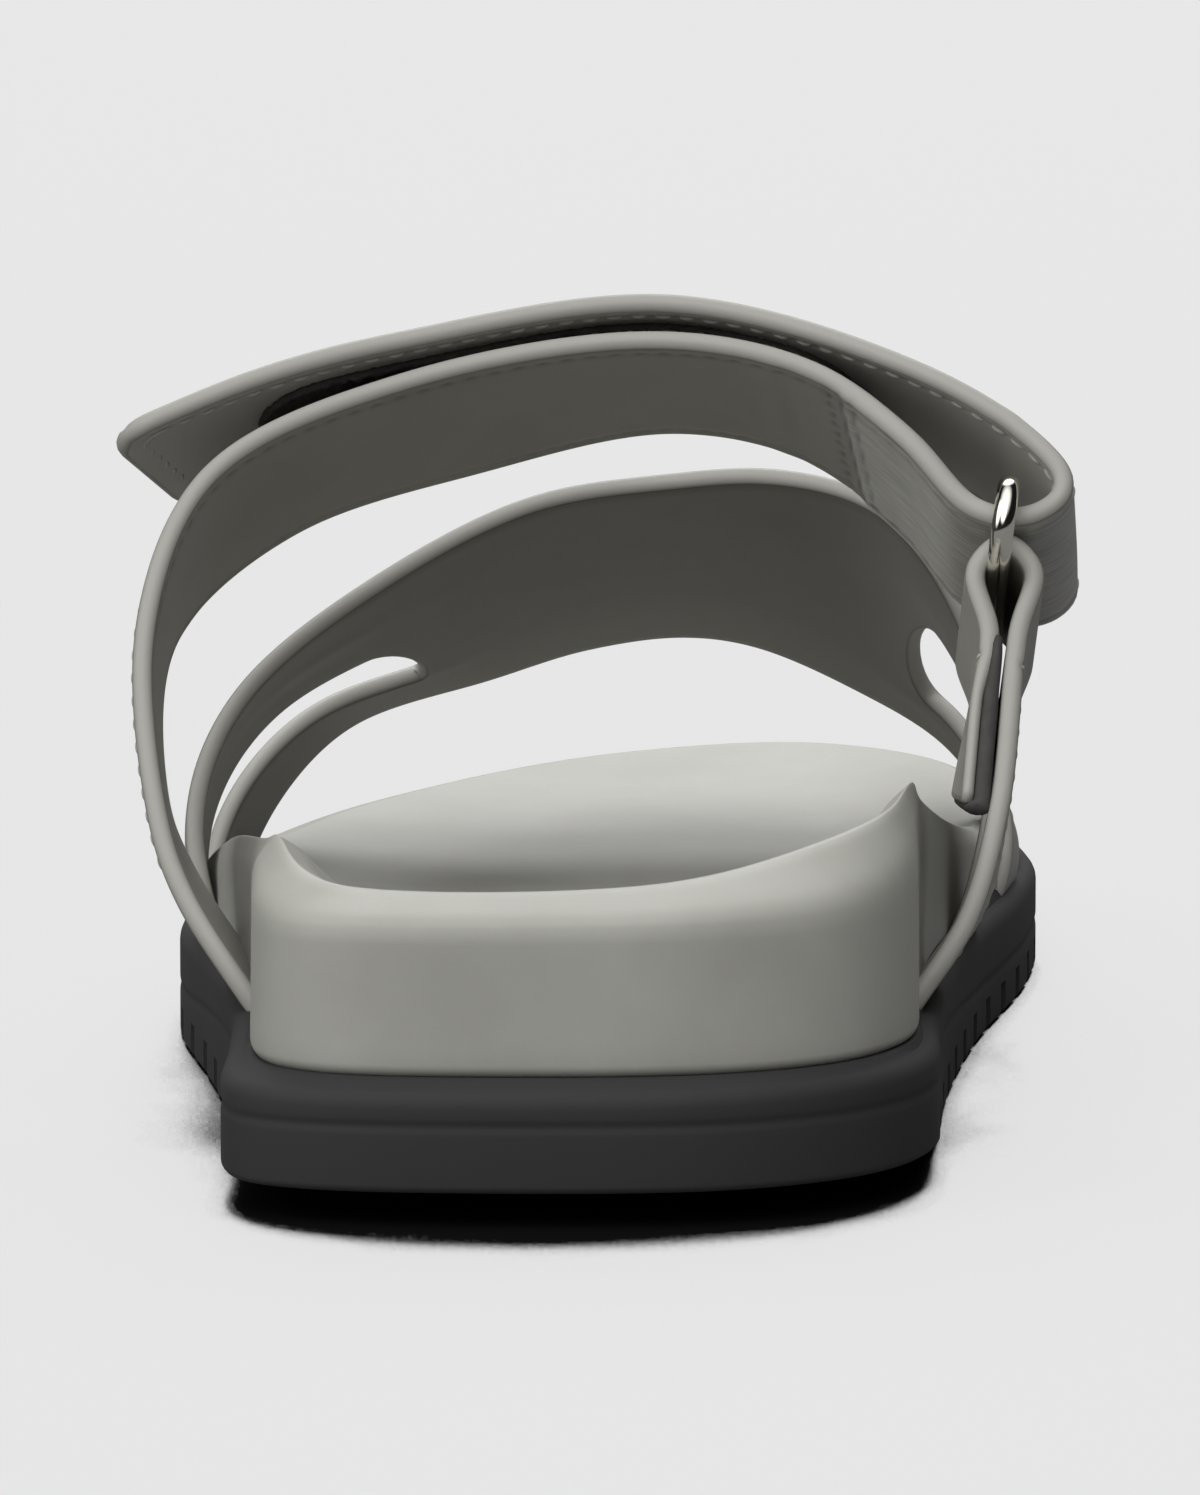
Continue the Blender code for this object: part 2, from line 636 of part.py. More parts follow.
def build():
    """The whole sandal."""
    for old in list(bpy.data.objects):
        bpy.data.objects.remove(old, do_unlink=True)
    group = bpy.data.collections.new("footbed_sandal")
    cutters = bpy.data.collections.new("cutters")
    bpy.context.scene.collection.children.link(group)
    bpy.context.scene.collection.children.link(cutters)

    rubber = material("sole_rubber", RUBBER, 0.62)
    bed_leather = material("bed_leather", LEATHER, 0.5)
    strap_leather = material("strap_leather", STRAP_LEATHER, 0.5)
    tab_leather = material("tab_leather", STRAP_LEATHER, 0.5)
    front_leather = material("front_leather", STRAP_LEATHER, 0.5)
    steel = material("ring_steel", STEEL, 0.15, 1.0)
    pile = material("fastener_pile", PILE, 0.9)

    outsole = add_object("outsole", loft("outsole", outsole_rings()), group, rubber)
    footbed = add_object("footbed", loft("footbed", footbed_rings()), group, bed_leather)
    _, pockets = make_front_strap(group, cutters, front_leather)
    for rows, name, width, stations, buried, finish in (
        (INSTEP_STRAP, "instep_strap", STRAP_WIDTH, INSTEP_STATIONS, INSTEP_BURIED, strap_leather),
        (RING_TAB, "ring_tab", TAB_WIDTH, TAB_STATIONS, TAB_BURIED, tab_leather),
    ):
        _, seat = make_strap(name, rows, width, stations, buried, group, cutters, finish)
        pockets.append(seat)
    make_patches(group, pile)
    make_ring(group, steel)
    cut(outsole, tread_cutter(cutters))
    for seat in pockets:
        cut(outsole, seat)
        cut(footbed, seat)


build()
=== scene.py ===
import math

import bmesh
import bpy
import numpy as np
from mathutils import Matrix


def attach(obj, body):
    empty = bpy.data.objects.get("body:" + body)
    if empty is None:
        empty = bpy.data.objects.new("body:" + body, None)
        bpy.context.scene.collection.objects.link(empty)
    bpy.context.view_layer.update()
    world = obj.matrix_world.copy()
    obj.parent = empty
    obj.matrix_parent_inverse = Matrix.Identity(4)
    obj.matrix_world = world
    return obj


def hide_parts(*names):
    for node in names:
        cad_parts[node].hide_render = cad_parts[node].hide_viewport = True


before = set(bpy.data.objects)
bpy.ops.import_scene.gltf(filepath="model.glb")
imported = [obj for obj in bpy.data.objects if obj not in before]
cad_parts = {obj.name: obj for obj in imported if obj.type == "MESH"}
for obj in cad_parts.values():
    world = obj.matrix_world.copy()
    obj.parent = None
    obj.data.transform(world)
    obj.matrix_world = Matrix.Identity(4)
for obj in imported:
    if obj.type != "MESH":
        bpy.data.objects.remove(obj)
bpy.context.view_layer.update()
print("frame loaded:", ", ".join(sorted(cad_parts)))

mm = 0.001
centreShift = 2.0   # from the axis of the last to the middle of the part
lastLength = 275.0


# Curves and placing

def place(points):
    # across, along, up in millimetres to metres in the part's frame
    return (np.asarray(points, float) + np.array([centreShift, -lastLength / 2, 0.0])) * mm


def unit(vectors):
    return vectors / np.linalg.norm(vectors, axis=-1, keepdims=True)


def hermite(t, start, end, leave, arrive):
    return ((2 * t**3 - 3 * t**2 + 1) * start + (t**3 - 2 * t**2 + t) * leave
            + (3 * t**2 - 2 * t**3) * end + (t**3 - t**2) * arrive)


def curveThrough(rows, closed=False, measured=3, steps=40):
    # a smooth curve through the rows of a table, read by its share of the length
    knots = np.array([row[1:] if isinstance(row[0], str) else row for row in rows], float)
    if closed:
        knots = np.vstack([knots[-2:], knots, knots[:3]])
    spans = np.sqrt(np.linalg.norm(np.diff(knots[:, :measured], axis=0), axis=1))[:, None]
    slopes = np.diff(knots, axis=0) / spans
    inner = (slopes[:-1] * spans[1:] + slopes[1:] * spans[:-1]) / (spans[:-1] + spans[1:])
    tangents = np.vstack([slopes[:1], inner, slopes[-1:]])
    first, last = (2, len(knots) - 3) if closed else (0, len(knots) - 1)
    t = np.linspace(0.0, 1.0, steps, endpoint=False)[:, None]
    pieces = []
    for i in range(first, last):
        leave, arrive = spans[i] * tangents[i:i + 2]
        pieces.append(hermite(t, knots[i], knots[i + 1], leave, arrive))
    fine = np.vstack(pieces + [knots[last:last + 1]])
    lengths = np.linalg.norm(np.diff(fine[:, :measured], axis=0), axis=1)
    share = np.concatenate([[0.0], np.cumsum(lengths)]) / lengths.sum()
    return {"share": share, "rows": fine, "length": lengths.sum()}


def readRows(at, known, rows):
    return np.stack([np.interp(at, known, column) for column in rows.T], axis=-1)


def readCurve(curve, shares):
    return readRows(shares, curve["share"], curve["rows"])


def shareWhere(curve, column, value, low, high):
    # where a column that rises or falls steadily between two shares takes a value
    inside = (curve["share"] >= low) & (curve["share"] <= high)
    shares, found = curve["share"][inside], curve["rows"][inside, column]
    order = np.argsort(found)
    return np.interp(value, found[order], shares[order])


def softened(rows, reach, closed=False):
    # runs a short window along the rows, so no knot of a curve shows in the shine
    window = np.hanning(2 * reach + 3)[1:-1]
    window /= window.sum()
    if closed:
        padded = np.vstack([rows[-reach:], rows, rows[:reach]])
    else:
        before = 2 * rows[0] - rows[reach:0:-1]
        after = 2 * rows[-1] - rows[-2:-reach - 2:-1]
        padded = np.vstack([before, rows, after])
    return np.stack([np.convolve(column, window, "valid") for column in padded.T], axis=-1)


def softCurve(curve, shares, count, reach):
    fine = np.linspace(0.0, 1.0, count)
    return readRows(shares, fine, softened(readCurve(curve, fine), reach))


def ramp(value):
    return min(1.0, max(0.0, value))


def bell(value, wide):
    return math.exp(-((value / wide) ** 2))


def easeTable(rows, samples):
    # smooth columns through a short table whose first column rises
    table = np.array(rows, float)
    x = table[:, 0]
    gaps = np.diff(x)[:, None]
    slopes = np.diff(table, axis=0) / gaps
    product, total = slopes[:-1] * slopes[1:], slopes[:-1] + slopes[1:]
    inner = np.where(product > 0, 2 * product / np.where(total == 0, 1, total), 0)
    tangents = np.vstack([slopes[:1], inner, slopes[-1:]])
    i = np.clip(np.searchsorted(x, samples, side="right") - 1, 0, len(x) - 2)
    t = ((samples - x[i]) / gaps[i, 0])[:, None]
    return hermite(t, table[i], table[i + 1], gaps[i] * tangents[i], gaps[i] * tangents[i + 1])


# Meshes

def linked(name, data):
    made = bpy.data.objects.new(name, data)
    bpy.context.scene.collection.objects.link(made)
    return made


def addPiece(name, mesh, finish, slotName, *nodes):
    made = linked(name, mesh)
    mesh.materials.clear()
    mesh.materials.append(finish)
    mesh.shade_smooth()
    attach(made, "root")
    if nodes:
        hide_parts(*nodes)
    print("%s: %d faces" % (name, len(mesh.polygons)))
    return made


def bridged(bm, rings):
    for low, high in zip(rings[:-1], rings[1:]):
        for i in range(len(low)):
            j = (i + 1) % len(low)
            bm.faces.new((low[i], low[j], high[j], high[i]))


def meshFrom(name, bm):
    bmesh.ops.recalc_face_normals(bm, faces=bm.faces)
    mesh = bpy.data.meshes.new(name)
    bm.to_mesh(mesh)
    bm.free()
    return mesh


def ringsMesh(name, rings, closeEnds=True):
    # a lofted body through rings of equal count
    bm = bmesh.new()
    rows = [[bm.verts.new(point) for point in place(ring)] for ring in rings]
    bridged(bm, rows)
    if closeEnds:
        bm.faces.new(list(reversed(rows[0])))
        bm.faces.new(rows[-1])
    bmesh.ops.remove_doubles(bm, verts=bm.verts, dist=0.004 * mm)
    return meshFrom(name, bm)


def sheetOf(points, along, across):
    # a strap's middle surface with its normals, to be walled, creased and stitched
    normals = unit(np.cross(np.gradient(points, axis=0), np.gradient(points, axis=1)))
    return {"points": points, "normals": normals, "along": along, "across": across}


def onSheet(sheet, along, across):
    # point, normal and lengthwise direction on a strap, at millimetres from its end and rear edge
    a = np.interp(along, sheet["along"], np.arange(len(sheet["along"])))
    b = np.interp(across, sheet["across"], np.arange(len(sheet["across"])))
    i = int(min(a, len(sheet["along"]) - 2))
    j = int(min(b, len(sheet["across"]) - 2))
    s, t = a - i, b - j

    def mixed(grid):
        low = grid[i, j] * (1 - t) + grid[i, j + 1] * t
        high = grid[i + 1, j] * (1 - t) + grid[i + 1, j + 1] * t
        return low * (1 - s) + high * s

    run = sheet["points"][i + 1, j] - sheet["points"][i, j]
    return mixed(sheet["points"]), unit(mixed(sheet["normals"])), unit(run)


def creaseRelief(creases, along, across):
    # soft troughs (negative) and ridges, each a long narrow swell at an angle to the strap
    depth = np.zeros(np.shape(along))
    for at, over, turn, long, wide, deep in creases:
        c, s = math.cos(math.radians(turn)), math.sin(math.radians(turn))
        onward = (along - at) * c + (across - over) * s
        sideways = (across - over) * c - (along - at) * s
        depth = depth + deep * np.exp(-(onward / long) ** 2 - (sideways / wide) ** 2)
    return depth


def walledMesh(name, sheets, thickness, edge, edgeSteps=6, relief=None, plies=None, footTo=0.0):
    # both faces of a strap and its rounded edge; relief(along, across, side) moves a face in or out
    # and plies(along, across, side) marks its other leathers; up to footTo the lower face meets the foot
    bm = bmesh.new()
    runLayer = bm.verts.layers.float_vector.new("middleRun")
    normalLayer = bm.verts.layers.float_vector.new("middleNormal")
    for sheet in sheets:
        rows, columns = sheet["points"].shape[:2]
        acrossGrid = np.broadcast_to(sheet["across"], (rows, columns))
        verts = {}
        for i, j in np.ndindex(rows, columns):
            vert = bm.verts.new(sheet["points"][i, j])
            vert[runLayer] = (sheet["along"][i], acrossGrid[i, j], 0.0)
            vert[normalLayer] = sheet["normals"][i, j]
            verts[i, j] = vert
        for i, j in np.ndindex(rows - 1, columns - 1):
            bm.faces.new((verts[i, j], verts[i + 1, j], verts[i + 1, j + 1], verts[i, j + 1]))
    bmesh.ops.remove_doubles(bm, verts=bm.verts, dist=0.02)

    body = bmesh.new()
    runOut = body.verts.layers.float_vector.new("run")
    footOut = body.verts.layers.float.new("foot")
    rimOut = body.verts.layers.float.new("rim")
    pliesOut = body.verts.layers.float_vector.new("plies")

    def put(point, run, side, rim):
        made = body.verts.new(place(point))
        made[runOut] = run
        made[footOut] = max(0.0, -side) if run[0] < footTo else 0.0
        made[rimOut] = rim
        if plies and rim == 0.0:
            made[pliesOut] = plies(run[0], run[1], side)
        return made

    upper, lower, arcs = {}, {}, {}
    half = thickness / 2
    for vert in bm.verts:
        point = np.array(vert.co)
        normal = unit(np.array(vert[normalLayer]))
        run = np.array(vert[runLayer])
        lift = [relief(run[0], run[1], side) if relief else 0.0 for side in (1.0, -1.0)]
        high = point + normal * (half + lift[0])
        low = point - normal * (half + lift[1])
        upper[vert] = put(high, run, 1.0, 0.0)
        lower[vert] = put(low, run, -1.0, 0.0)
        if vert.is_boundary:
            ends = [e.other_vert(vert) for e in vert.link_edges if e.is_boundary]
            tangent = np.array(ends[0].co) - np.array(ends[-1].co)
            outward = unit(np.cross(tangent, normal))
            inside = np.mean([np.array(f.calc_center_median()) for f in vert.link_faces], axis=0)
            if np.dot(inside - point, outward) > 0:
                outward = -outward
            middle, reach = (high + low) / 2, (high - low) / 2
            turns = np.linspace(0.5, -0.5, edgeSteps + 1)[1:-1] * math.pi
            arc = [upper[vert]]
            for c, s in zip(np.cos(turns), np.sin(turns)):
                arc.append(put(middle + outward * edge * c + reach * s, run, s, c))
            arcs[vert] = arc + [lower[vert]]
    for face in bm.faces:
        body.faces.new([upper[v] for v in face.verts])
        body.faces.new([lower[v] for v in reversed(face.verts)])
    for edgeLine in bm.edges:
        if edgeLine.is_boundary:
            a, b = edgeLine.verts
            for k in range(edgeSteps):
                body.faces.new((arcs[a][k], arcs[b][k], arcs[b][k + 1], arcs[a][k + 1]))
    bm.free()
    return meshFrom(name, body)


def threadMesh(name, stitches, length, radius):
    # short sunk stitches, each (point, direction, normal)
    bm = bmesh.new()
    turns = np.arange(8) * math.pi / 4
    for point, direction, normal in stitches:
        sideways = np.cross(direction, normal)
        rings = []
        for t in np.linspace(-1.0, 1.0, 7):
            girth = radius * math.sqrt(max(0.0, 1.0 - abs(t) ** 3)) + 0.02
            centre = point + direction * (t * length / 2) - normal * 0.55 * radius * t**2
            around = [centre + girth * (math.cos(a) * sideways + math.sin(a) * normal) for a in turns]
            rings.append([bm.verts.new(place(spot)) for spot in around])
        bridged(bm, rings)
        bm.faces.new(rings[0])
        bm.faces.new(rings[-1])
    return meshFrom(name, bm)


def stitchRow(sheet, side, offset, along, across):
    # stitches on one face: lengthwise at many places along, or crosswise at many places across
    row = []
    for at, over in np.broadcast(along, across):
        point, normal, run = onSheet(sheet, at, over)
        direction = run if np.ndim(along) else np.cross(normal, run)
        row.append((point + normal * side * offset, direction, normal * side))
    return row


# Shader groups

def newGroup(name, inputs, outputs):
    tree = bpy.data.node_groups.new(name, "ShaderNodeTree")
    for socketName, value in inputs:
        socket = tree.interface.new_socket(socketName, in_out="INPUT", socket_type="NodeSocketFloat")
        socket.default_value = value
    for socketName in outputs:
        tree.interface.new_socket(socketName, in_out="OUTPUT", socket_type="NodeSocketFloat")
    return tree, tree.nodes.new("NodeGroupInput").outputs, tree.nodes.new("NodeGroupOutput")


def feed(tree, node, values):
    # plain values are set, outputs of other nodes are linked
    for key, value in values.items():
        if isinstance(value, bpy.types.NodeSocket):
            tree.links.new(value, node.inputs[key])
        else:
            node.inputs[key].default_value = value


def addNode(tree, kind, values, **settings):
    node = tree.nodes.new(kind)
    for key, value in settings.items():
        setattr(node, key, value)
    feed(tree, node, values)
    return node


def mathNode(tree, operation, a, b):
    return addNode(tree, "ShaderNodeMath", {0: a, 1: b}, operation=operation).outputs[0]


def mixColours(tree, share, a, b):
    return addNode(tree, "ShaderNodeMix", {0: share, 6: a, 7: b}, data_type="RGBA").outputs[2]


def ranged(tree, value, fromMin, fromMax, toMin=0.0, toMax=1.0, ease="LINEAR"):
    ends = {"Value": value, "From Min": fromMin, "From Max": fromMax, "To Min": toMin, "To Max": toMax}
    return addNode(tree, "ShaderNodeMapRange", ends, interpolation_type=ease).outputs[0]


def objectPlace(tree):
    return addNode(tree, "ShaderNodeTexCoord", {}).outputs["Object"]


def noise(tree, where, scale, detail, rough):
    values = {"Vector": where, "Scale": scale, "Detail": detail, "Roughness": rough}
    return addNode(tree, "ShaderNodeTexNoise", values).outputs["Fac"]


def marked(tree, name, output="Fac"):
    return addNode(tree, "ShaderNodeAttribute", {}, attribute_name=name).outputs[output]


def bumped(tree, height, strength, deep):
    values = {"Height": height, "Strength": strength, "Distance": deep * mm}
    return addNode(tree, "ShaderNodeBump", values).outputs[0]


def makeGrainGroup():
    # fine pebbled grain and slow mottling, on the object's own millimetres
    outputs = ["Height", "Mottle", "Shine"]
    tree, start, end = newGroup("leatherGrain", [("Cell", 1.6), ("Pores", 0.35)], outputs)
    toMillimetres = {0: objectPlace(tree), "Scale": 1.0 / mm}
    where = addNode(tree, "ShaderNodeVectorMath", toMillimetres, operation="SCALE").outputs[0]
    cells = {"Vector": where, "Scale": start["Cell"]}
    pebbles = addNode(tree, "ShaderNodeTexVoronoi", cells, feature="SMOOTH_F1")
    fine = noise(tree, where, 2.6, 4.0, 0.6)
    slow = noise(tree, where, 0.045, 4.0, 0.55)
    pores = mathNode(tree, "MULTIPLY", fine, start["Pores"])
    feed(tree, end, {
        "Height": mathNode(tree, "ADD", pebbles.outputs["Distance"], pores),
        "Mottle": slow,
        "Shine": mathNode(tree, "MULTIPLY", mathNode(tree, "ADD", fine, slow), 0.5),
    })
    return tree


def makeWearGroup():
    # rubbed edges, from how sharply the surface turns
    tree, start, end = newGroup("edgeWear", [("Amount", 0.5)], ["Worn"])
    pointed = addNode(tree, "ShaderNodeNewGeometry", {}).outputs["Pointiness"]
    patchy = noise(tree, objectPlace(tree), 220.0, 5.0, 0.65)
    worn = mathNode(tree, "MULTIPLY", ranged(tree, pointed, 0.5, 0.62), patchy)
    feed(tree, end, {"Worn": mathNode(tree, "MULTIPLY", worn, start["Amount"])})
    return tree


grainGroup = makeGrainGroup()
wearGroup = makeWearGroup()


def useGroup(tree, group, values):
    return addNode(tree, "ShaderNodeGroup", values, node_tree=group).outputs


def newMaterial(name):
    made = bpy.data.materials.new(name)
    made.use_nodes = True
    return made, made.node_tree, made.node_tree.nodes["Principled BSDF"]


def leatherMaterial(name, look):
    made, tree, shader = newMaterial(name)
    grain = useGroup(tree, grainGroup, {"Cell": look["cell"], "Pores": look["pores"]})
    worn = useGroup(tree, wearGroup, {"Amount": look["wear"]})["Worn"]
    mottle = ranged(tree, grain["Mottle"], 0.35, 0.65)
    colour = mixColours(tree, mottle, look["dark"], look["light"])
    colour = mixColours(tree, worn, colour, look["worn"])
    rough = ranged(tree, grain["Shine"], 0.0, 1.0, look["rough"] - 0.07, look["rough"] + 0.07)
    if "foot" in look:
        # the face that meets the foot is painted darker: painted shade for the straps' shaded undersides,
        # on an assumed darker leather
        footShadeColour = mixColours(tree, mottle, look["foot"], look["footLight"])
        colour = mixColours(tree, ranged(tree, marked(tree, "foot"), 0.6, 0.95), colour, footShadeColour)
    if "scuffed" in look:
        # long streaks on the ply beside the ring, a lighter lining inside the fold and under the flap that
        # is partly painted light lifting those shaded faces, and the lines of the seam
        plies = addNode(tree, "ShaderNodeSeparateXYZ", {0: marked(tree, "plies", "Vector")}).outputs
        run = {"Vector": marked(tree, "run", "Vector"), "Scale": (0.16, 1.3, 1.0)}
        stretched = addNode(tree, "ShaderNodeMapping", run).outputs[0]
        streak = ranged(tree, noise(tree, stretched, 1.0, 5.0, 0.6), 0.4, 0.7)
        scuffed = mixColours(tree, streak, look["smooth"], look["scuffed"])
        colour = mixColours(tree, plies["X"], colour, scuffed)
        colour = mixColours(tree, plies["Y"], colour, look["litLining"])
        colour = mixColours(tree, mathNode(tree, "MULTIPLY", plies["Z"], 0.85), colour, look["line"])
        rough = mathNode(tree, "SUBTRACT", rough, mathNode(tree, "MULTIPLY", plies["X"], 0.2))
    if "edge" in look:
        # painted edges with a dark line where the paint meets the face
        rim = marked(tree, "rim")
        line = mathNode(tree, "MULTIPLY", ranged(tree, rim, 0.0, 0.16), ranged(tree, rim, 0.42, 0.2))
        colour = mixColours(tree, ranged(tree, rim, 0.25, 0.7), colour, look["edge"])
        colour = mixColours(tree, mathNode(tree, "MULTIPLY", line, 0.5), colour, look["line"])
    feed(tree, shader, {
        "Base Color": colour, "Roughness": rough, "Specular IOR Level": look["gloss"],
        "Normal": bumped(tree, grain["Height"], look["bump"], 0.12),
    })
    return made


bedLook = {
    "dark": (0.340, 0.338, 0.305, 1.0), "light": (0.385, 0.383, 0.350, 1.0),
    "worn": (0.47, 0.465, 0.43, 1.0), "wear": 0.35,
    "cell": 1.5, "pores": 0.5, "bump": 0.10, "rough": 0.52, "gloss": 0.45,
}
strapLook = {
    "dark": (0.260, 0.256, 0.228, 1.0), "light": (0.305, 0.300, 0.270, 1.0),
    "worn": (0.42, 0.415, 0.38, 1.0), "wear": 0.3,
    "edge": (0.34, 0.333, 0.305, 1.0), "line": (0.08, 0.078, 0.07, 1.0),
    # foot colours: painted shade for the shaded face that meets the foot
    "foot": (0.165, 0.160, 0.143, 1.0), "footLight": (0.19, 0.185, 0.166, 1.0),
    "cell": 1.7, "pores": 0.5, "bump": 0.12, "rough": 0.5, "gloss": 0.45,
}
instepLook = dict(
    # foot colours: painted shade for the shaded face that meets the foot
    strapLook, foot=(0.235, 0.229, 0.207, 1.0), footLight=(0.27, 0.264, 0.24, 1.0),
    # the lining colour is partly painted light: it lifts the shaded inside of the fold and the flap's
    # underside
    smooth=(0.25, 0.247, 0.225, 1.0), scuffed=(0.42, 0.415, 0.38, 1.0), litLining=(0.44, 0.432, 0.40, 1.0),
)
bedLeather = leatherMaterial("bedLeather", bedLook)
strapLeather = leatherMaterial("strapLeather", strapLook)
instepLeather = leatherMaterial("instepLeather", instepLook)

# low and high are the colours at the two ends of a noise
plainLooks = {
    "soleRubber": {
        "low": (0.026, 0.0254, 0.0264, 1.0), "high": (0.036, 0.035, 0.036, 1.0), "cloud": (35.0, 4.0, 0.6),
        "worn": (0.06, 0.058, 0.058, 1.0), "wear": 0.6, "rough": (0.72, 0.88), "gloss": 0.3,
        "speck": 1500.0, "bump": 0.12, "deep": 0.1,
    },
    "ringMetal": {
        "low": (0.78, 0.75, 0.68, 1.0), "high": (0.7254, 0.6975, 0.6324, 1.0), "cloud": (600.0, 4.0, 0.6),
        "rough": (0.05, 0.15), "metal": 1.0,
    },
    "strapThread": {
        "low": (0.37, 0.36, 0.335, 1.0), "high": (0.50, 0.49, 0.455, 1.0), "cloud": (900.0, 3.0, 0.6),
        "rough": (0.7, 0.7), "speck": 900.0, "bump": 0.6, "deep": 0.15,
    },
    "fastenerPile": {
        "low": (0.020, 0.016, 0.014, 1.0), "high": (0.05, 0.042, 0.038, 1.0), "cloud": (700.0, 3.0, 0.6),
        "rough": (0.95, 0.95), "speck": 700.0, "bump": 0.6, "deep": 0.5,
    },
    "tabLiningCloth": {
        "low": (0.020, 0.019, 0.018, 1.0), "high": (0.060, 0.058, 0.055, 1.0), "cloud": (500.0, 3.0, 0.6),
        "rough": (0.75, 0.75), "speck": 500.0, "bump": 0.6, "deep": 0.1,
    },
}


def plainMaterial(name):
    look = plainLooks[name]
    made, tree, shader = newMaterial(name)
    where = objectPlace(tree)
    cloud = noise(tree, where, *look["cloud"])
    colour = mixColours(tree, cloud, look["low"], look["high"])
    if "wear" in look:
        worn = useGroup(tree, wearGroup, {"Amount": look["wear"]})["Worn"]
        colour = mixColours(tree, worn, colour, look["worn"])
    if "bump" in look:
        speck = noise(tree, where, look["speck"], 3.0, 0.6)
        feed(tree, shader, {"Normal": bumped(tree, speck, look["bump"], look["deep"])})
    feed(tree, shader, {
        "Base Color": colour, "Roughness": ranged(tree, cloud, 0.0, 1.0, *look["rough"]),
        "Specular IOR Level": look.get("gloss", 0.5), "Metallic": look.get("metal", 0.0),
    })
    return made


soleRubber, ringMetal, threadFinish, pileFinish, liningFinish = map(plainMaterial, plainLooks)
print("materials made")


# Sole

soleShape = {
    "outline": [
        # name, across, along, ledge, crestIn, crestUp, shoulder
        ("heelBack", -8.0, 0.15, 4.8, 6.0, 35.7, 3.2),
        ("heelBackLateral", -27.0, 1.7, 4.9, 7.0, 35.8, 3.4),
        ("heelCornerLateral", -36.0, 6.6, 5.6, 5.8, 36.3, 4.2),
        ("heelSideLateral", -39.0, 15.0, 4.0, 4.8, 37.2, 4.6),
        ("heelLateral", -39.9, 34.0, 2.6, 3.4, 38.8, 4.6),
        ("waistLateral", -42.5, 70.0, 2.4, 1.4, 34.0, 4.2),
        ("midLateral", -48.3, 106.0, 2.2, 0.9, 29.7, 4.2),
        ("ballLateral", -55.7, 150.0, 2.0, 1.2, 20.5, 4.4),
        ("toeFive", -54.0, 196.0, 2.8, 4.0, 18.2, 4.4),
        ("toeFour", -41.0, 238.0, 2.8, 4.0, 18.8, 4.4),
        ("toeThree", -14.0, 267.0, 2.8, 4.0, 21.2, 4.4),
        ("toeTip", 17.0, 274.6, 2.8, 4.0, 22.6, 4.4),
        ("toeOne", 39.0, 259.0, 2.8, 4.0, 22.5, 4.4),
        ("toeJoint", 49.2, 226.0, 2.8, 4.0, 21.8, 4.4),
        ("ballMedial", 49.2, 195.0, 2.6, 4.0, 20.8, 4.4),
        ("midMedial", 43.2, 140.0, 2.4, 0.8, 27.6, 4.4),
        ("archMedial", 40.4, 95.0, 2.6, 0.6, 36.0, 4.8),
        ("heelMedial", 39.9, 58.0, 2.4, 0.9, 42.6, 5.0),
        ("heelSideMedial", 39.6, 31.0, 2.6, 3.8, 41.4, 6.8),
        ("heelCornerMedial", 32.4, 14.4, 3.6, 7.8, 38.8, 5.8),
        ("heelBackMedial", 17.0, 3.2, 5.0, 6.8, 36.7, 4.0),
    ],
    "profile": [
        # along, top, groove, bed
        (0.0, 15.1, 11.2, 26.0),
        (40.0, 15.6, 11.2, 25.5),
        (90.0, 15.0, 9.4, 23.2),
        (140.0, 13.7, 6.4, 18.3),
        (185.0, 13.2, 6.0, 16.3),
        (275.0, 13.0, 6.0, 16.6),
    ],
    "heelFlat": 70.0, "heelFade": 36.0, "heelBevel": 3.8, "bevelAcross": 0.6, "bevelAlong": 0.83,
    "toeFlat": 212.0, "toeSpring": 5.2,
    "ledgeRise": 0.8, "lip": 2.0, "grooveDeep": 0.22, "grooveHalf": 0.5, "grooveReach": 2.4, "edge": 0.9,
    "treadRings": [(0.02, 0.4), (0.4, 0.6), (0.75, 0.85)], "seatIn": 5.0, "seatDraw": (0.85, 0.9),
    "slotFirst": 69.0, "slotLast": 214.0, "slotPitch": 14.0,
    "slotLong": 220.0, "slotWide": 5.0, "slotHigh": 4.2, "slotNarrow": 0.82, "sharpAngle": 42.0,
    "points": 420, "outlineReach": 4, "profilePoints": 276, "profileReach": 18,
}


def toeLift(along):
    flat = soleShape["toeFlat"]
    return soleShape["toeSpring"] * (np.clip(along - flat, 0.0, None) / (lastLength - flat)) ** 2


def lowerEdge(along):
    # lifted round the heel, flat, then rising with the toe
    share = np.clip((soleShape["heelFlat"] - along) / soleShape["heelFade"], 0.0, 1.0)
    return soleShape["heelBevel"] * share**2 * (3.0 - 2.0 * share) + toeLift(along)


profileCurve = np.array(soleShape["profile"])
profileFine = np.linspace(0.0, lastLength, soleShape["profilePoints"])
profileSoft = softened(readRows(profileFine, profileCurve[:, 0], profileCurve), soleShape["profileReach"])


def levelAt(along, column):
    return np.interp(along, profileFine, profileSoft[:, column]) + toeLift(along)


def soleOutline():
    curve = curveThrough(soleShape["outline"], closed=True, measured=2)
    count = soleShape["points"]
    rows = softened(readCurve(curve, np.arange(count) / count), soleShape["outlineReach"], closed=True)
    ahead = np.roll(rows[:, :2], -1, axis=0) - np.roll(rows[:, :2], 1, axis=0)
    normals = unit(np.stack([-ahead[:, 1], ahead[:, 0]], axis=-1))
    normals *= np.sign(np.sum(normals * (rows[:, :2] - np.array([0.0, lastLength / 2]))))
    return rows[:, :2], normals, rows[:, 2:]


outline, outlineNormals, outlineColumns = soleOutline()
ledgeWidth, crestIn, crestUp, shoulderDown = outlineColumns.T


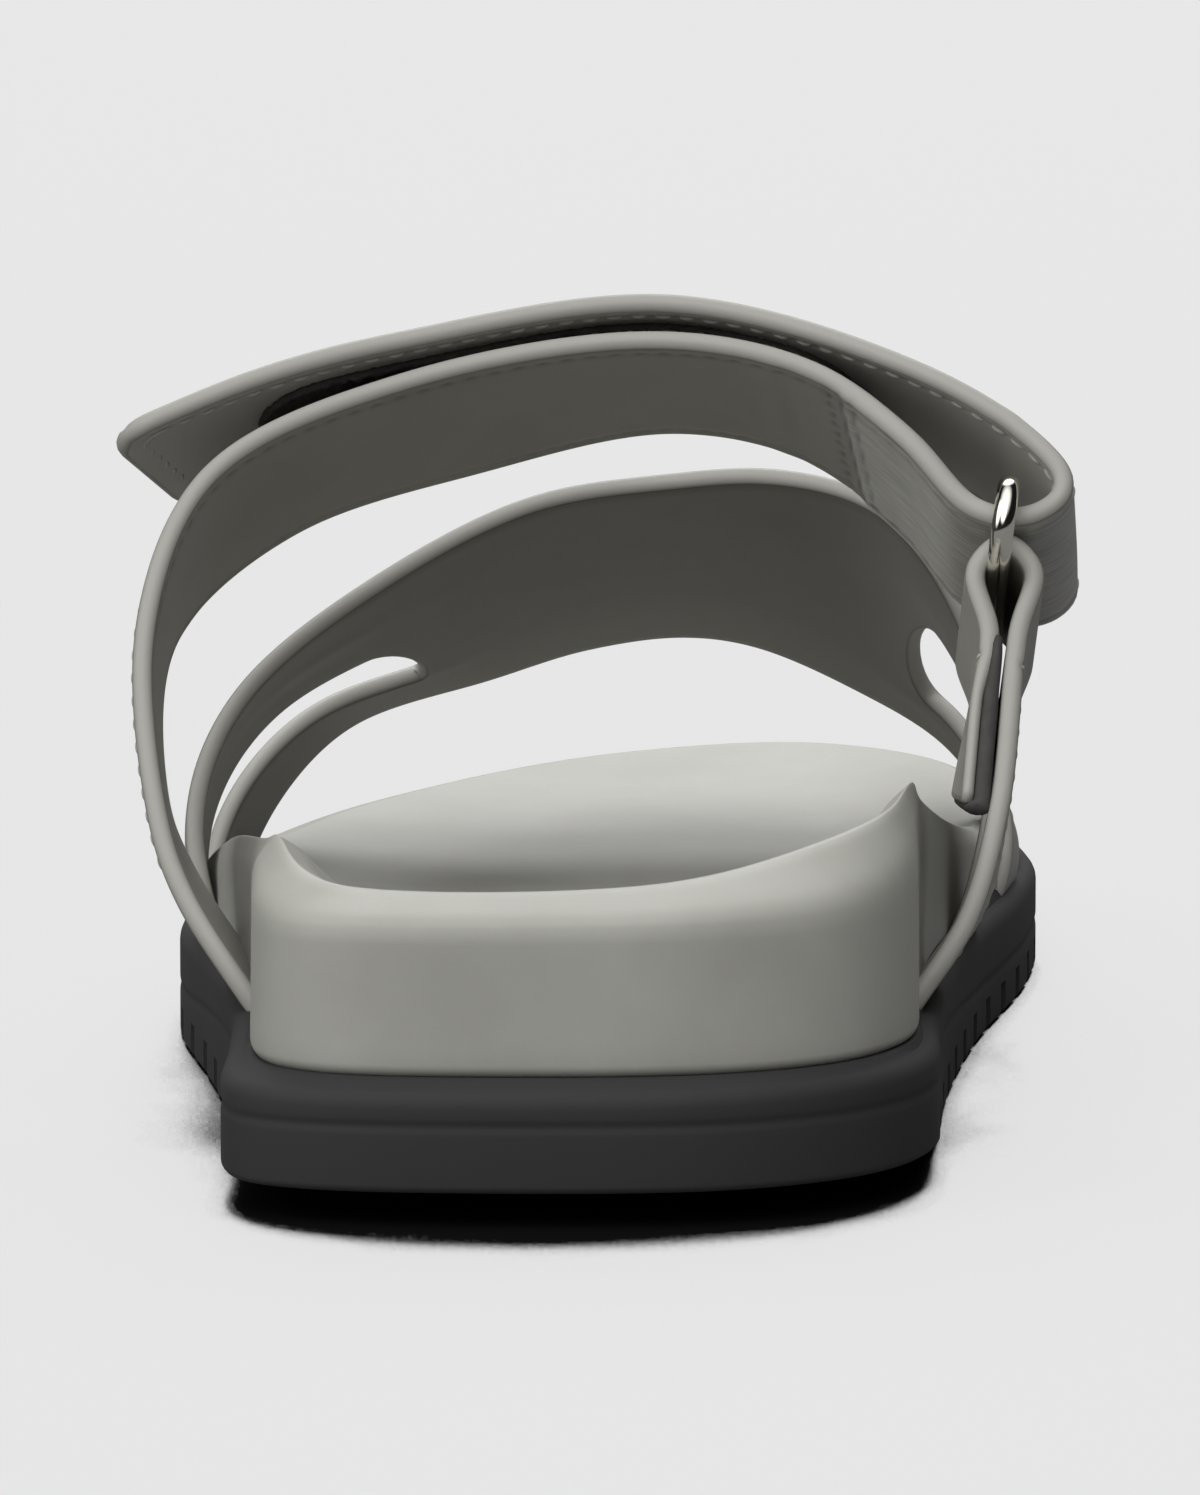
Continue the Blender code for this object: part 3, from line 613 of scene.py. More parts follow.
def ringAt(inset, up):
    flat = outline - outlineNormals * np.reshape(inset, (-1, 1))
    level = up(flat[:, 1]) if callable(up) else up
    return np.column_stack([flat, np.broadcast_to(level, len(flat))])


def drawnIn(ring, across, along, up):
    middle = lastLength / 2
    flat = np.column_stack([ring[:, 0] * across, middle + (ring[:, 1] - middle) * along])
    return np.column_stack([flat, up(flat[:, 1])])


def quarterTurn(steps):
    return [(1 - math.sin(a), 1 - math.cos(a)) for a in np.linspace(0.0, math.pi / 2, steps)]


def makeSole(shape):
    edge, lip = shape["edge"], shape["lip"]
    deep, half = shape["grooveDeep"], shape["grooveHalf"]
    lower = ringAt(edge, lowerEdge)
    tread = drawnIn(lower, shape["bevelAcross"], shape["bevelAlong"], toeLift)
    rings = [drawnIn(tread, across, along, toeLift) for across, along in shape["treadRings"]]
    rings += [tread, 0.5 * (tread + lower)]
    for inset, rise in quarterTurn(6):
        rings.append(ringAt(edge * inset, lambda a, r=rise: lowerEdge(a) + edge * r))
    for drop in np.linspace(-shape["grooveReach"], shape["grooveReach"], 9):
        inset = deep * math.exp(-drop**2)
        rings.append(ringAt(inset, lambda a, d=drop: levelAt(a, 2) + d * half))
    for inset, rise in quarterTurn(7):
        rings.append(ringAt(lip * rise, lambda a, i=inset: levelAt(a, 1) - lip * i))
    ledge = shape["ledgeRise"]
    for part in (0.5, 1.0):
        rings.append(ringAt(lip + (ledgeWidth - lip) * part, lambda a, p=part: levelAt(a, 1) + ledge * p))
    inner = ringAt(ledgeWidth + shape["seatIn"], lambda a: levelAt(a, 1) + ledge)
    rings += [inner, drawnIn(inner, *shape["seatDraw"], lambda a: levelAt(a, 1) + ledge)]
    return ringsMesh("sole", rings)


def cutTread(target, shape):
    # slots across the sole; the cutter is taken away again
    bm = bmesh.new()
    for along in np.arange(shape["slotFirst"], shape["slotLast"], shape["slotPitch"]):
        made = bmesh.ops.create_cube(bm, size=1.0)["verts"]
        for vert in made:
            narrow = shape["slotNarrow"] if vert.co.z > 0 else 1.0
            size = (shape["slotLong"], shape["slotWide"] * narrow, 2 * shape["slotHigh"])
            vert.co = [c * s * mm for c, s in zip(vert.co, size)]
        bmesh.ops.translate(bm, verts=made, vec=place([0.0, along, 0.0]))
    cutter = linked("treadSlots", meshFrom("treadSlots", bm))
    boolean = target.modifiers.new("tread", "BOOLEAN")
    boolean.operation = "DIFFERENCE"
    boolean.object = cutter
    evaluated = target.evaluated_get(bpy.context.evaluated_depsgraph_get())
    cutMesh = bpy.data.meshes.new_from_object(evaluated)
    target.modifiers.clear()
    target.data = cutMesh
    bpy.data.objects.remove(cutter, do_unlink=True)
    cutMesh.shade_smooth()
    cutMesh.set_sharp_from_angle(angle=math.radians(shape["sharpAngle"]))


sole = addPiece("sole", makeSole(soleShape), soleRubber, "sole_rubber", "outsole")
cutTread(sole, soleShape)
print("sole cut: %d faces" % len(sole.data.polygons))


# Footbed

bedShape = {
    "edge": 1.5, "lean": 0.2, "sink": 0.2, "cornerReach": 9, "fullRise": 14.0,
    "shoulder": [
        # share of the crest's inset, share of the fall from the crest
        (0.0, 1.0), (0.07, 0.80), (0.18, 0.63), (0.34, 0.47), (0.6, 0.25), (0.84, 0.07), (1.0, 0.0),
    ],
    "hollow": [
        # way in, across, along, share of the way down to the bed
        (0.0, 1.0, 1.0, 0.0),
        (0.06, 0.988, 0.994, 0.025),
        (0.2, 0.945, 0.980, 0.11),
        (0.4, 0.84, 0.945, 0.42),
        (0.6, 0.70, 0.900, 0.80),
        (0.8, 0.52, 0.840, 1.0),
        (0.9, 0.26, 0.600, 1.0),
        (1.0, 0.01, 0.450, 1.0),
    ],
}


def makeFootbed(shape):
    edge = shape["edge"]

    def base(along):
        return levelAt(along, 1) + soleShape["ledgeRise"] - shape["sink"]

    def bed(along):
        return levelAt(along, 3)

    foot = ringAt(ledgeWidth + edge, base)
    level = base((outline - outlineNormals * ledgeWidth[:, None])[:, 1])
    rise = crestUp - level
    soft = np.minimum(1.0, rise / shape["fullRise"])
    rings = [drawnIn(foot, *soleShape["seatDraw"], base), foot]
    for inset, up in quarterTurn(7)[1:]:
        rings.append(ringAt(ledgeWidth + edge * inset, level + edge * up * soft))
    wallTop = crestUp - shoulderDown * soft
    wallFoot = level + edge * soft
    for t in np.linspace(0.0, 1.0, 9)[1:-1]:
        rings.append(ringAt(ledgeWidth + shape["lean"] * t, wallFoot + (wallTop - wallFoot) * t))
    bend = easeTable(shape["shoulder"], np.linspace(0.0, 1.0, 13))
    for inset, drop in bend:
        ring = ringAt(ledgeWidth + shape["lean"] + crestIn * inset, crestUp - drop * shoulderDown * soft)
        rings.append(ring + inset * (softened(ring, shape["cornerReach"], closed=True) - ring))
    crest = rings[-1]
    for _, across, along, down in easeTable(shape["hollow"], np.linspace(0.0, 1.0, 34)[1:]):
        ring = drawnIn(crest, across, along, bed)
        ring[:, 2] += (1.0 - down) * (crest[:, 2] - bed(crest[:, 1]))
        rings.append(ring)
    return ringsMesh("footbedCover", rings)


addPiece("footbedCover", makeFootbed(bedShape), bedLeather, "bed_leather", "footbed")


# Front strap

frontShape = {
    "rows": [
        # name, rear across, along, up, front across, along, up, swell across between them
        ("tuckLateral", -44.6, 114.0, 10.6, -49.4, 176.0, 10.4, -2.6),
        ("seamLateral", -48.2, 115.0, 17.0, -50.8, 178.0, 14.5, -2.8),
        ("sideLateral", -51.2, 121.0, 30.0, -47.2, 188.0, 24.0, -2.8),
        ("bendLateral", -47.0, 135.5, 42.9, -38.0, 201.0, 33.0, -2.2),
        ("slopeLateral", -32.2, 151.0, 55.0, -20.5, 212.5, 37.8, -1.2),
        ("crownLateral", -13.0, 161.5, 64.6, -8.0, 217.5, 41.2, 0.0),
        ("crown", 4.0, 165.5, 67.2, 4.0, 219.5, 42.6, 0.0),
        ("crownMedial", 18.0, 162.5, 68.2, 14.0, 219.5, 41.2, 0.0),
        ("slopeMedial", 31.6, 154.5, 64.8, 26.6, 216.0, 36.2, 0.0),
        ("bendMedial", 42.0, 139.5, 52.0, 39.0, 208.5, 29.6, 0.0),
        ("sideMedial", 45.6, 131.0, 36.0, 45.6, 201.5, 21.2, 0.0),
        ("seamMedial", 42.0, 127.5, 17.5, 46.8, 198.5, 14.6, 0.0),
        ("tuckMedial", 38.0, 126.0, 10.8, 45.2, 197.0, 10.4, 0.0),
    ],
    "slots": [
        # name, tip, middle and width at the tip, middle and width at the foot
        ("lateral", 0.326, 0.64, 0.33, 0.52, 0.22),
        ("medial", 0.736, 0.55, 0.50, 0.52, 0.44),
    ],
    "slotRound": 0.22, "tipClear": 0.0022, "run": 67.0, "span": 190.0, "thick": 2.3, "edge": 0.9,
    "stations": 170, "columns": 16, "finePoints": 400, "fineReach": 10,
    "creases": [
        # along, across, turn, long, wide, depth (mm); troughs are negative
        (52.0, 14.0, 8.0, 16.0, 2.6, -0.22),
        (47.0, 21.0, 12.0, 12.0, 2.0, 0.14),
        (150.0, 12.0, -8.0, 14.0, 2.6, -0.2),
        (155.0, 20.0, -10.0, 11.0, 2.0, 0.13),
        (60.0, 52.0, -6.0, 12.0, 2.4, -0.16),
        (140.0, 56.0, 8.0, 12.0, 2.4, -0.16),
    ],
}


def makeFrontStrap(shape):
    curve = curveThrough(shape["rows"], measured=6)
    ratio = shape["run"] / shape["span"]
    stations = list(np.linspace(0.0, 1.0, shape["stations"]))
    tips = []
    for name, tip, _, width, _, _ in shape["slots"]:
        reach = shape["slotRound"] * width * ratio
        steps = reach * (1 - np.cos(np.linspace(0.0, math.pi / 2, 9)))
        tips += list(tip - steps if name == "lateral" else tip + steps)
    stations = [s for s in stations if min(abs(s - t) for t in tips) > shape["tipClear"]]
    shares = np.sort(np.array(stations + tips))
    rows = softCurve(curve, shares, shape["finePoints"], shape["fineReach"])
    margin = shape["edge"] / shape["run"]
    half = np.zeros(len(shares))
    for name, tip, _, width, _, footWidth in shape["slots"]:
        inward = tip - shares if name == "lateral" else shares - tip
        depth = np.clip(inward / (shape["slotRound"] * width * ratio), 0.0, 1.0)
        toFoot = np.clip(inward / (tip if name == "lateral" else 1.0 - tip), 0.0, 1.0)
        half += (0.5 * (width + (footWidth - width) * toFoot) + margin) * np.sqrt(1.0 - (1.0 - depth) ** 2)
    lateral, medial = shape["slots"]
    bends = [0.0, lateral[1], medial[1], 1.0]
    middle = np.interp(shares, bends, [lateral[4], lateral[2], medial[2], medial[4]])
    rim = np.full(len(shares), margin)
    steps = np.linspace(0.0, 1.0, shape["columns"])[None]
    sheets = []
    for low, high in ((rim, middle - half), (middle + half, 1.0 - rim)):
        sides = low[:, None] + (high - low)[:, None] * steps
        points = rows[:, None, :3] + (rows[:, 3:6] - rows[:, :3])[:, None] * sides[:, :, None]
        points[:, :, 0] += rows[:, 6:] * 4 * sides * (1 - sides)
        sheets.append(sheetOf(points, shares * shape["span"], sides * shape["run"]))

    def relief(along, across, side):
        return side * float(creaseRelief(shape["creases"], along, across))

    footTo = shape["span"] + 1.0
    return walledMesh("frontStrap", sheets, shape["thick"], shape["edge"], relief=relief, footTo=footTo)


addPiece("frontStrap", makeFrontStrap(frontShape), strapLeather, "strap_leather", "front_strap")


# Instep strap

instepShape = {
    "rows": [
        # name, across, along, up, dip (degrees), inward
        ("tuck", -35.6, 58.0, 11.6, 0.0, -3.0),
        ("seam", -40.4, 59.5, 18.0, 0.0, -3.4),
        ("rise", -47.2, 64.0, 27.5, 1.2, -3.0),
        ("sideLow", -50.8, 69.0, 36.0, 3.0, -2.9),
        ("sideHigh", -53.5, 83.0, 58.0, 9.0, 0.0),
        ("shoulder", -47.0, 95.5, 74.5, 17.4, 7.2),
        ("crownLateral", -25.0, 106.5, 84.5, 23.3, 7.6),
        ("crown", 4.8, 109.0, 89.4, 23.6, 1.8),
        ("crownMedial", 23.6, 104.0, 86.4, 23.9, -0.4),
        ("ringIn", 35.4, 97.5, 78.9, 25.4, -0.2),
        ("ringPass", 43.4, 93.4, 71.0, 27.0, 0.0),
        ("foldLow", 50.2, 92.1, 70.4, 28.6, 0.6),
        ("foldOut", 54.1, 93.6, 73.6, 28.6, 0.6),
        ("foldHigh", 51.2, 96.4, 77.8, 26.6, 0.0),
        ("flapMedial", 37.5, 102.6, 85.9, 24.0, -0.4),
        ("flapCrown", 6.8, 111.2, 93.6, 22.4, 1.6),
        ("flapLateral", -25.8, 108.6, 89.2, 22.0, 7.0),
        ("flapSide", -41.6, 104.4, 85.3, 21.5, 7.0),
        ("flapEnd", -59.0, 98.7, 78.4, 19.4, 6.8),
    ],
    "width": 33.0, "thick": 2.4, "edge": 0.95, "stations": 460, "columns": 40, "endRound": 5.5,
    "ringAcross": 44.0, "foldUp": 73.6, "litLiningLead": 14.0,
    "seamAcross": 29.5, "seamStep": 0.32, "seamSlant": 0.12, "slantFrom": 16.0, "stepFade": 14.0,
    "edgeAt": -0.2, "lineAt": 1.8, "lineDeep": 0.16, "rowAt": -2.4, "rowDeep": 0.20,
    "stitchIn": 2.5, "stitchPitch": 3.0, "stitchLong": 2.2, "thread": 0.3, "sunk": 0.22,
    "stitchFrom": 26.0, "channelFrom": 20.0, "channelFade": 6.0, "channelWide": 0.55,
    "wrinkles": [
        # along from the seam, across, turn, long, wide, depth (mm) of the foot's face
        (-9.0, 16.0, 86.0, 13.0, 1.3, -0.20),
        (-11.6, 15.0, 88.0, 12.0, 1.1, 0.12),
        (-14.6, 17.0, 84.0, 11.0, 1.4, -0.14),
    ],
    "creases": [
        (196.0, 16.0, 88.0, 14.0, 1.6, -0.2),
        (208.0, 14.0, 92.0, 14.0, 1.6, -0.2),
        (58.0, 18.0, 80.0, 12.0, 2.4, -0.16),
    ],
}


strapGrid = {
    "beside": (-1.1, -0.7, -0.35, 0.0, 0.35, 0.7, 1.1), "clear": 0.4, "finePoints": 600, "fineReach": 7,
}


def cornerCut(toEnd, radius):
    # how far a rounded corner draws an edge in near the end
    return radius - np.sqrt(radius**2 - (radius - np.clip(toEnd, 0.0, radius)) ** 2)


def strapSheet(curve, width, edge, shares, columns, endRound=0.0, inset=0.0):
    # a strap of one width; the free end's corners are rounded off
    rows = softCurve(curve, shares, strapGrid["finePoints"], strapGrid["fineReach"])
    rear = rows[:, :3]
    dip = np.radians(rows[:, 3])
    front = rear + np.column_stack([rows[:, 4], width * np.cos(dip), -width * np.sin(dip)])
    along = np.asarray(shares) * curve["length"]
    taper = cornerCut(curve["length"] - along, endRound)
    margin = (edge + inset + taper)[:, None] / width
    steps = np.linspace(0.0, 1.0, columns) if isinstance(columns, int) else columns
    sides = margin + (1.0 - 2 * margin) * steps[None]
    points = rear[:, None] + (front - rear)[:, None] * sides[:, :, None]
    return sheetOf(points, along, sides * width)


def stitchedSheet(curve, shape, shares):
    # columns lie closer together along the strap's two stitch lines
    width, edge = shape["width"], shape["edge"]
    lines = (shape["stitchIn"], width - shape["stitchIn"])
    clear = width - 2 * edge
    near = [(line - edge + d) / clear for line in lines for d in strapGrid["beside"]]

    def kept(step):
        return step in (0.0, 1.0) or min(abs(step - n) for n in near) > strapGrid["clear"] / clear

    steps = [step for step in np.linspace(0.0, 1.0, shape["columns"]) if kept(step)]
    steps = np.sort(np.array(steps + near))
    return strapSheet(curve, width, edge, shares, steps, shape["endRound"]), lines


def flatSheet(curve, width, stations, columns=34):
    # the same middle surface with straight columns, for stitching
    sheet = strapSheet(curve, width, 0.0, np.linspace(0.0, 1.0, stations), columns)
    sheet["across"] = np.linspace(0.0, width, columns)
    return sheet


def makeInstepStrap(shape):
    curve = curveThrough(shape["rows"])
    length = curve["length"]
    shares = np.linspace(0.0, 1.0, shape["stations"])
    endSteps = shape["endRound"] * (1 - np.sin(np.linspace(0.0, math.pi / 2, 9))) / length
    shares = np.concatenate([shares[shares < 1.0 - shape["endRound"] / length], 1.0 - endSteps])
    sheet, lines = stitchedSheet(curve, shape, shares)
    seam = shareWhere(curve, 0, shape["seamAcross"], 0.2, 0.56) * length
    ringPass = shareWhere(curve, 0, shape["ringAcross"], 0.3, 0.58) * length
    fold = shareWhere(curve, 2, shape["foldUp"], 0.56, 0.66) * length
    print("instep strap %.0f mm long, seam at %.0f" % (length, seam))
    print("ring at %.0f, fold at %.0f" % (ringPass, fold))

    def pulse(value):
        return 0.5 + 0.5 * math.cos(2 * math.pi * value / shape["stitchPitch"])

    def fromSeam(along, across):
        return along - seam - shape["seamSlant"] * (across - shape["slantFrom"])

    def relief(along, across, side):
        swell = side * float(creaseRelief(shape["creases"], along, across))
        channel = sum(bell(across - line, shape["channelWide"]) for line in lines)
        channel *= ramp((along - shape["channelFrom"]) / shape["channelFade"])
        onFoot = side < 0 and along < fold
        swell -= shape["sunk"] * channel * (0.25 + 0.75 * pulse(along) if onFoot else 1.0)
        if onFoot:
            past = fromSeam(along, across)
            swell += float(creaseRelief(shape["wrinkles"], along - seam, across))
            swell += shape["seamStep"] * ramp(0.5 + past / 0.8) * ramp((fold - along) / shape["stepFade"])
            swell -= shape["lineDeep"] * bell(past - shape["lineAt"], 0.45)
            swell -= shape["rowDeep"] * bell(past - shape["rowAt"], 0.5) * pulse(across)
        return swell

    def plies(along, across, side):
        # scuffed ply from the seam to the ring, a lighter lining inside the fold and under the flap, partly
        # painted light on those shaded faces, seam lines
        if side > 0:
            return 0.0, ramp((along - ringPass + shape["litLiningLead"]) / 3.0), 0.0
        past = fromSeam(along, across)
        scuffed = ramp(0.5 + past) * ramp((fold + 2.0 - along) / 4.0)
        if along >= fold:
            return scuffed, 0.0, 0.0
        marks = bell(past - shape["lineAt"], 0.35) + bell(past - shape["edgeAt"], 0.35)
        marks += bell(past - shape["rowAt"], 0.45) * pulse(across)
        marks += 0.7 * bell(across - lines[0], 0.4) * pulse(along) * ramp((seam - 4.0 - along) / 4.0)
        return scuffed, 0.0, min(1.0, marks)

    thick, edge = shape["thick"], shape["edge"]
    mesh = walledMesh("instepStrap", [sheet], thick, edge, relief=relief, plies=plies, footTo=seam)
    return mesh, curve, fold


instepMesh, instepCurve, instepFold = makeInstepStrap(instepShape)
addPiece("instepStrap", instepMesh, instepLeather, "strap_leather", "instep_strap")


def stitchInstep(shape, curve, fold):
    sheet = flatSheet(curve, shape["width"], 500)
    length, width, bend = curve["length"], shape["width"], shape["endRound"]
    out = shape["thick"] / 2 - 0.5 * shape["sunk"]
    gap, pitch = shape["stitchIn"], shape["stitchPitch"]
    corner = bend - gap
    row = []
    for side, first in ((1.0, shape["stitchFrom"]), (-1.0, fold)):
        for across in (gap, width - gap):
            row += stitchRow(sheet, side, out, np.arange(first, length - bend, pitch), across)
        over = np.arange(bend - 1.0, width - bend + 1.0, pitch)
        row += stitchRow(sheet, side, out, length - gap, over)
        for turn in np.radians([15.0, 45.0, 75.0]):
            for across, flip in ((bend, -1.0), (width - bend, 1.0)):
                along = length - bend + corner * math.sin(turn)
                point, normal, run = onSheet(sheet, along, across + flip * corner * math.cos(turn))
                sideways = np.cross(normal, run)
                direction = run * math.cos(turn) - flip * sideways * math.sin(turn)
                row.append((point + normal * side * out, direction, normal * side))
    return threadMesh("instepStitching", row, shape["stitchLong"], shape["thread"])


instepStitches = stitchInstep(instepShape, instepCurve, instepFold)
addPiece("instepStitching", instepStitches, threadFinish, "strap_leather")


# Fastener between the strap's two runs

fastenerShape = {
    "piles": [
        # name, node, from and to across, margin at the edges, run of the strap (in shares), seed
        ("loopPile", "loop_patch", -36.0, 30.0, 3.6, 0.16, 0.56, 5),
        ("hookPile", "hook_patch", -46.0, 30.0, 5.0, 0.62, 1.0, 9),
    ],
    "thick": 1.0, "edge": 0.3, "sink": 0.1, "stations": 150, "columns": 50, "round": 10.0,
    "rough": 0.14, "draws": 4096,
}


def makeFastener(shape, name, first, last, margin, low, high, seed):
    shares = np.sort(shareWhere(instepCurve, 0, np.linspace(first, last, shape["stations"]), low, high))
    along = shares * instepCurve["length"]
    inset = margin + cornerCut(np.minimum(along - along[0], along[-1] - along), shape["round"])
    sheet = strapSheet(instepCurve, instepShape["width"], 0.0, shares, shape["columns"], inset=inset)
    above = 0.5 * (instepShape["thick"] + shape["thick"]) - shape["sink"]
    sheet["points"] = sheet["points"] + sheet["normals"] * above
    fuzz = np.random.default_rng(seed).normal(0.0, shape["rough"], shape["draws"])
    count = [0]

    def relief(along, across, side):
        count[0] += 1
        return float(fuzz[count[0] % shape["draws"]])

    return walledMesh(name, [sheet], shape["thick"], shape["edge"], edgeSteps=4, relief=relief)


for pileName, pileNode, *pilePlace in fastenerShape["piles"]:
    pileMesh = makeFastener(fastenerShape, pileName, *pilePlace)
    addPiece(pileName, pileMesh, pileFinish, "fastener_pile", pileNode)


# Ring tab

tabShape = {
    "rows": [
        # name, across, along, up, dip (degrees), inward
        ("tuck", 33.4, 60.0, 11.8, 0.0, 2.0),
        ("seam", 37.6, 61.0, 17.6, 0.0, 2.0),
        ("low", 43.0, 66.5, 25.6, 5.0, 0.6),
        ("middle", 46.6, 75.0, 38.0, 14.0, -0.8),
        ("neckOuter", 48.6, 87.3, 56.9, 25.0, -1.5),
        ("loopOuter", 50.3, 91.0, 64.0, 27.0, -1.5),
        ("loopTop", 46.9, 92.5, 67.1, 27.0, -1.5),
        ("loopInner", 43.5, 91.0, 64.0, 27.0, -1.5),
        ("neckInner", 45.2, 87.3, 56.9, 25.0, -1.5),
        ("inner", 44.2, 82.6, 49.0, 18.0, -1.6),
        ("innerEnd", 43.3, 75.4, 38.7, 6.0, -1.6),
    ],
    "width": 30.0, "thick": 2.4, "edge": 0.95, "stations": 220, "columns": 24, "endRound": 0.0,
    "neckUp": 56.9, "innerThin": 0.9, "thinFade": 8.0,
    "liningThick": 1.9, "liningEdge": 0.7, "overrun": 1.5, "liningLip": 0.75, "lipFade": 10.0,
    "stitchUp": 54.2, "stitchRuns": [(0.2, 0.5), (0.65, 0.95)], "stitchFrom": 14.0, "channelFrom": 12.0,
    "stitchIn": 2.6, "stitchPitch": 3.0, "stitchLong": 2.2, "thread": 0.3, "sunk": 0.22,
}


def makeTab(shape):
    curve = curveThrough(shape["rows"])
    shares = np.linspace(0.0, 1.0, shape["stations"])
    sheet, lines = stitchedSheet(curve, shape, shares)
    neck = shareWhere(curve, 2, shape["neckUp"], 0.62, 0.95) * curve["length"]
    stitched = []
    for run in shape["stitchRuns"]:
        stitched.append(shareWhere(curve, 2, shape["stitchUp"], *run) * curve["length"])

    def relief(along, across, side):
        if side > 0:
            return -shape["innerThin"] * ramp((along - neck) / shape["thinFade"])
        channel = sum(bell(along - at, 0.6) for at in stitched)
        if shape["channelFrom"] < along < stitched[0]:
            channel += sum(bell(across - line, 0.55) for line in lines)
        return -shape["sunk"] * min(1.0, channel)

    mesh = walledMesh("ringTab", [sheet], shape["thick"], shape["edge"], relief=relief)
    return mesh, curve, neck, stitched


tabMesh, tabCurve, tabNeck, tabStitched = makeTab(tabShape)
addPiece("ringTab", tabMesh, strapLeather, "strap_leather", "ring_tab")


def makeTabLining(shape, curve, neck):
    # dark lining on the tab's inner ply, a little longer than the ply
    length = curve["length"]
    shares = np.linspace((neck + 1.0) / length, 1.0, 40)
    sheet = strapSheet(curve, shape["width"], 0.5, shares, 14)
    onward = unit(sheet["points"][-1] - sheet["points"][-2])
    beyond = np.linspace(0.0, shape["overrun"], 6)[1:]
    points = np.concatenate([sheet["points"], [sheet["points"][-1] + onward * d for d in beyond]])
    along = np.concatenate([sheet["along"], sheet["along"][-1] + beyond])
    across = np.vstack([sheet["across"], np.repeat(sheet["across"][-1:], len(beyond), axis=0)])
    sheet = sheetOf(points, along, across)
    above = shape["thick"] / 2 - shape["innerThin"] + shape["liningThick"] / 2
    sheet["points"] = sheet["points"] + sheet["normals"] * above

    def relief(at, over, side):
        if side > 0:
            return -shape["liningLip"] * (1.0 - ramp((at - neck) / shape["lipFade"]))
        return ramp((at - length - 0.3) / 0.8)

    return walledMesh("tabLining", [sheet], shape["liningThick"], shape["liningEdge"], relief=relief)


addPiece("tabLining", makeTabLining(tabShape, tabCurve, tabNeck), liningFinish, "fastener_pile")


def stitchTab(shape, curve, stitched):
    sheet = flatSheet(curve, shape["width"], 400)
    out, gap, pitch = shape["thick"] / 2 - shape["sunk"], shape["stitchIn"], shape["stitchPitch"]
    row = []
    for at in stitched:
        row += stitchRow(sheet, -1.0, out, at, np.arange(1.6, shape["width"] - 1.0, pitch))
    for across in (gap, shape["width"] - gap):
        row += stitchRow(sheet, -1.0, out, np.arange(shape["stitchFrom"], stitched[0] - 2.0, pitch), across)
    return threadMesh("tabStitching", row, shape["stitchLong"], shape["thread"])


tabStitches = stitchTab(tabShape, tabCurve, tabStitched)
addPiece("tabStitching", tabStitches, threadFinish, "strap_leather")


# Ring

ringShape = {
    "across": 46.05, "along": 106.5, "up": 61.6, "dip": 27.0, "yaw": -2.5, "lean": 7.0,
    "halfHigh": 4.7, "halfLong": 20.3, "wire": 1.35,
}


def makeRing(shape):
    dip, yaw, lean = (math.radians(shape[key]) for key in ("dip", "yaw", "lean"))
    longAxis = np.array([math.sin(yaw), math.cos(yaw) * math.cos(dip), -math.cos(yaw) * math.sin(dip)])
    highAxis = np.array([math.tan(lean), math.sin(dip), math.cos(dip)])
    highAxis = unit(highAxis - longAxis * np.dot(highAxis, longAxis))
    thirdAxis = np.cross(longAxis, highAxis)
    centre = np.array([shape["across"], shape["along"], shape["up"]])
    straight = shape["halfLong"] - shape["halfHigh"]
    path = []
    for end in (1.0, -1.0):
        for turn in np.linspace(-0.5, 0.5, 21) * math.pi:
            out = end * (straight + shape["halfHigh"] * math.cos(turn))
            path.append((out, end * shape["halfHigh"] * math.sin(turn)))
        for t in np.linspace(0.0, 1.0, 14)[1:-1]:
            path.append((end * straight * (1 - 2 * t), end * shape["halfHigh"]))
    path = np.array(path)
    ahead = np.roll(path, -1, axis=0) - np.roll(path, 1, axis=0)
    normals = unit(np.stack([ahead[:, 1], -ahead[:, 0]], axis=-1))
    rings = []
    for a in np.arange(20) * 2 * math.pi / 20:
        flat = path + normals * shape["wire"] * math.cos(a)
        middle = centre + thirdAxis * shape["wire"] * math.sin(a)
        rings.append(middle + flat[:, :1] * longAxis + flat[:, 1:] * highAxis)
    rings.append(rings[0])
    return ringsMesh("ringWire", rings, closeEnds=False)


addPiece("ringWire", makeRing(ringShape), ringMetal, "ring_metal", "ring")


# Floor, light and camera

studio = {
    "floor": (0.06, 0.06, 0.06, 1.0), "bounce": (0.2, 0.2, 0.2, 1.0), "glow": (0.70, 0.70, 0.70, 1.0),
    # the shade keys set the painted contact shadow that an occlusion ramp puts on the floor
    "floorSize": 12.0, "shadeReach": 44.0, "shadeTilt": 60.0, "shadeFrom": 0.57, "shadeTo": 0.60,
    "ambient": 0.01, "seen": (0.784, 0.784, 0.784, 1.0),
    "boxes": [
        # name, azimuth (0 is behind the heel, 90 the medial side), elevation,
        # inner and outer half angle, strength
        ("toe", 180.0, 43.0, 8.0, 28.0, 3.9),
        ("front", -8.0, 38.0, 8.0, 30.0, 2.6),
        ("top", -6.0, 68.0, 14.0, 54.0, 1.5),
        ("left", -70.0, 30.0, 8.0, 28.0, 2.2),
    ],
}


